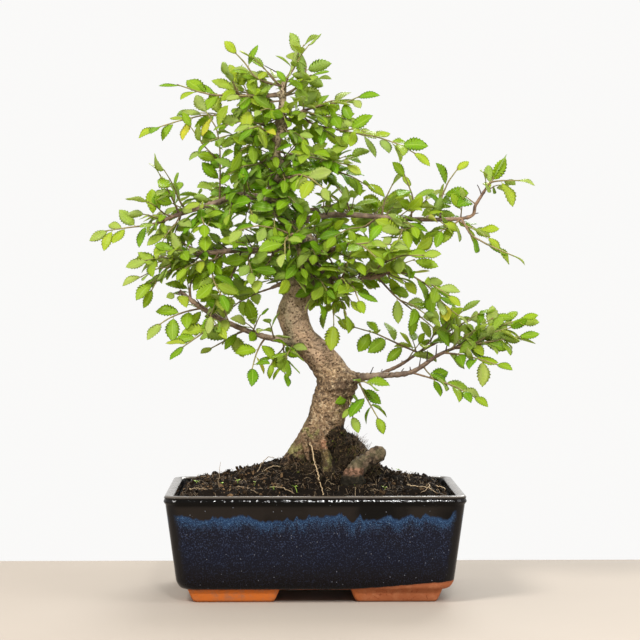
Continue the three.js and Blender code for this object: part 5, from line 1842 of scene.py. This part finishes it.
class PotSettings(bpy.types.PropertyGroup):
    blue_edge: FloatProperty(
        name="Blue edge", description="Height at which the blue glaze begins", default=0.0568, unit="LENGTH"
    )
    blue: colour_setting("Running blue", "Glaze at the top edge of the blue", (0.010, 0.029, 0.072))
    navy: colour_setting("Navy", "Glaze of the pot's sides", (0.004, 0.005, 0.0115))
    clay: colour_setting("Clay", "Unglazed clay of the feet", (0.66, 0.175, 0.030))


class SoilSettings(bpy.types.PropertyGroup):
    dark: colour_setting("Dark soil", "Moist soil", (0.003, 0.002, 0.0014))
    light: colour_setting("Light soil", "Drier crumbs", (0.0065, 0.004, 0.0022))
    crumbs: IntProperty(name="Crumbs", description="Loose crumbs on the soil", default=4200, min=0)
    straws: IntProperty(name="Straws", description="Short straws and rootlets", default=1100, min=0)
    hairs: IntProperty(name="Hairs", description="Fine rootlets on the heap", default=420, min=0)


class WoodSettings(bpy.types.PropertyGroup):
    bark: colour_setting("Bark", "Weathered bark", (0.36, 0.26, 0.15))
    pink: colour_setting("Smooth bark", "Smoother bark halfway up", (0.42, 0.28, 0.175))
    bark_relief: number_setting("Fine relief", "Depth of the finest bark relief, in mm", 1.0)
    voxel: number_setting("Detail", "Size of the bark's mesh cells, in mm", 0.8, 0.4)


class FoliageSettings(bpy.types.PropertyGroup):
    young: colour_setting("Young leaf", "Fresh yellow-green", (0.46, 0.50, 0.05))
    mature: colour_setting("Mature leaf", "Full green", (0.245, 0.425, 0.008))
    glow: share_setting("Translucency", "Light let through", 0.5)
    between: share_setting("In-between leaves", "Share of gaps that get one", 0.75)
    spur_spacing: number_setting("Spur spacing", "Distance between spurs, in mm", 7.0, 3)
    dead: share_setting("Dead twiglets", "Share of bare spurs", 0.2)


class StageSettings(bpy.types.PropertyGroup):
    floor: colour_setting("Floor", "Pale floor", (0.33, 0.285, 0.24))
    key: power_setting("Key light", "Power of the light at upper left", 35)
    fill: power_setting("Fill light", "Power of the light at right", 11)
    front: power_setting("Front light", "Power of the light in front", 5)
    glint: power_setting("Glint", "Power of the light that the lip mirrors", 11)
    back: power_setting("Back light", "Power of the light behind", 22)
    dim: number_setting("Surroundings", "Brightness behind the camera", 0.52)


class BONSAI_OT_pot(bpy.types.Operator):
    """Make the glazed pot"""

    bl_idname = "bonsai.pot"
    bl_label = "Pot"

    def execute(self, context):
        make_pot(context.scene.bonsai_pot)
        return {"FINISHED"}


class BONSAI_OT_screens(bpy.types.Operator):
    """Finish the plastic screens over the drain holes"""

    bl_idname = "bonsai.screens"
    bl_label = "Drain screens"

    def execute(self, context):
        finish = plastic()
        for side in ("left", "right"):
            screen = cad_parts["drain_screen_" + side]
            screen.data.materials.clear()
            screen.data.materials.append(finish)
        return {"FINISHED"}


class BONSAI_OT_soil(bpy.types.Operator):
    """Fill the pot with soil and scatter crumbs, straw and seedlings on it"""

    bl_idname = "bonsai.soil"
    bl_label = "Soil"

    def execute(self, context):
        make_soil(context.scene.bonsai_soil)
        make_crumbs(context.scene.bonsai_soil)
        make_moss()
        make_rootlets(context.scene.bonsai_soil)
        make_seedlings()
        return {"FINISHED"}


class BONSAI_OT_wood(bpy.types.Operator):
    """Grow the trunk, its roots and the boughs"""

    bl_idname = "bonsai.wood"
    bl_label = "Trunk and boughs"

    def execute(self, context):
        make_trunk(context.scene.bonsai_wood)
        make_boughs()
        return {"FINISHED"}


class BONSAI_OT_shoots(bpy.types.Operator):
    """Dress every leafy shoot"""

    bl_idname = "bonsai.shoots"
    bl_label = "Leafy shoots"

    def execute(self, context):
        make_shoots(context.scene.bonsai_foliage)
        return {"FINISHED"}


class BONSAI_OT_spurs(bpy.types.Operator):
    """Add short leafy spurs along the boughs"""

    bl_idname = "bonsai.spurs"
    bl_label = "Leafy spurs"

    def execute(self, context):
        make_spurs(context.scene.bonsai_foliage)
        return {"FINISHED"}


class BONSAI_OT_stage(bpy.types.Operator):
    """Set the floor, the lights and the camera"""

    bl_idname = "bonsai.stage"
    bl_label = "Stage"

    def execute(self, context):
        make_stage(context.scene.bonsai_stage)
        return {"FINISHED"}


class BONSAI_PT_panel(bpy.types.Panel):
    """Lists the bonsai's settings and the operators that make its pieces"""

    bl_idname = "BONSAI_PT_panel"
    bl_label = "Zelkova bonsai"
    bl_space_type = "VIEW_3D"
    bl_region_type = "UI"
    bl_category = "Bonsai"

    def draw(self, context):
        for label, name, operators in PANEL_ROWS:
            box = self.layout.box()
            box.label(text=label)
            settings = getattr(context.scene, name)
            for key in settings.__annotations__:
                box.prop(settings, key)
            for operator in operators:
                box.operator(operator)


PANEL_ROWS = [
    ("Pot", "bonsai_pot", ["bonsai.pot", "bonsai.screens"]),
    ("Soil", "bonsai_soil", ["bonsai.soil"]),
    ("Wood", "bonsai_wood", ["bonsai.wood"]),
    ("Foliage", "bonsai_foliage", ["bonsai.shoots", "bonsai.spurs"]),
    ("Stage", "bonsai_stage", ["bonsai.stage"]),
]
SETTINGS = {
    "bonsai_pot": PotSettings,
    "bonsai_soil": SoilSettings,
    "bonsai_wood": WoodSettings,
    "bonsai_foliage": FoliageSettings,
    "bonsai_stage": StageSettings,
}
OPERATORS = [
    BONSAI_OT_pot, BONSAI_OT_screens, BONSAI_OT_soil, BONSAI_OT_wood, BONSAI_OT_shoots, BONSAI_OT_spurs,
    BONSAI_OT_stage,
]


def register():
    for name, group in SETTINGS.items():
        bpy.utils.register_class(group)
        setattr(bpy.types.Scene, name, PointerProperty(type=group))
    for kind in [*OPERATORS, BONSAI_PT_panel]:
        bpy.utils.register_class(kind)


def unregister():
    for kind in reversed([*OPERATORS, BONSAI_PT_panel]):
        bpy.utils.unregister_class(kind)
    for name, group in SETTINGS.items():
        delattr(bpy.types.Scene, name)
        bpy.utils.unregister_class(group)


def main():
    register()
    for _, _, operators in PANEL_ROWS:
        for operator in operators:
            group, name = operator.split(".")
            getattr(getattr(bpy.ops, group), name)()


if __name__ == "__main__":
    main()
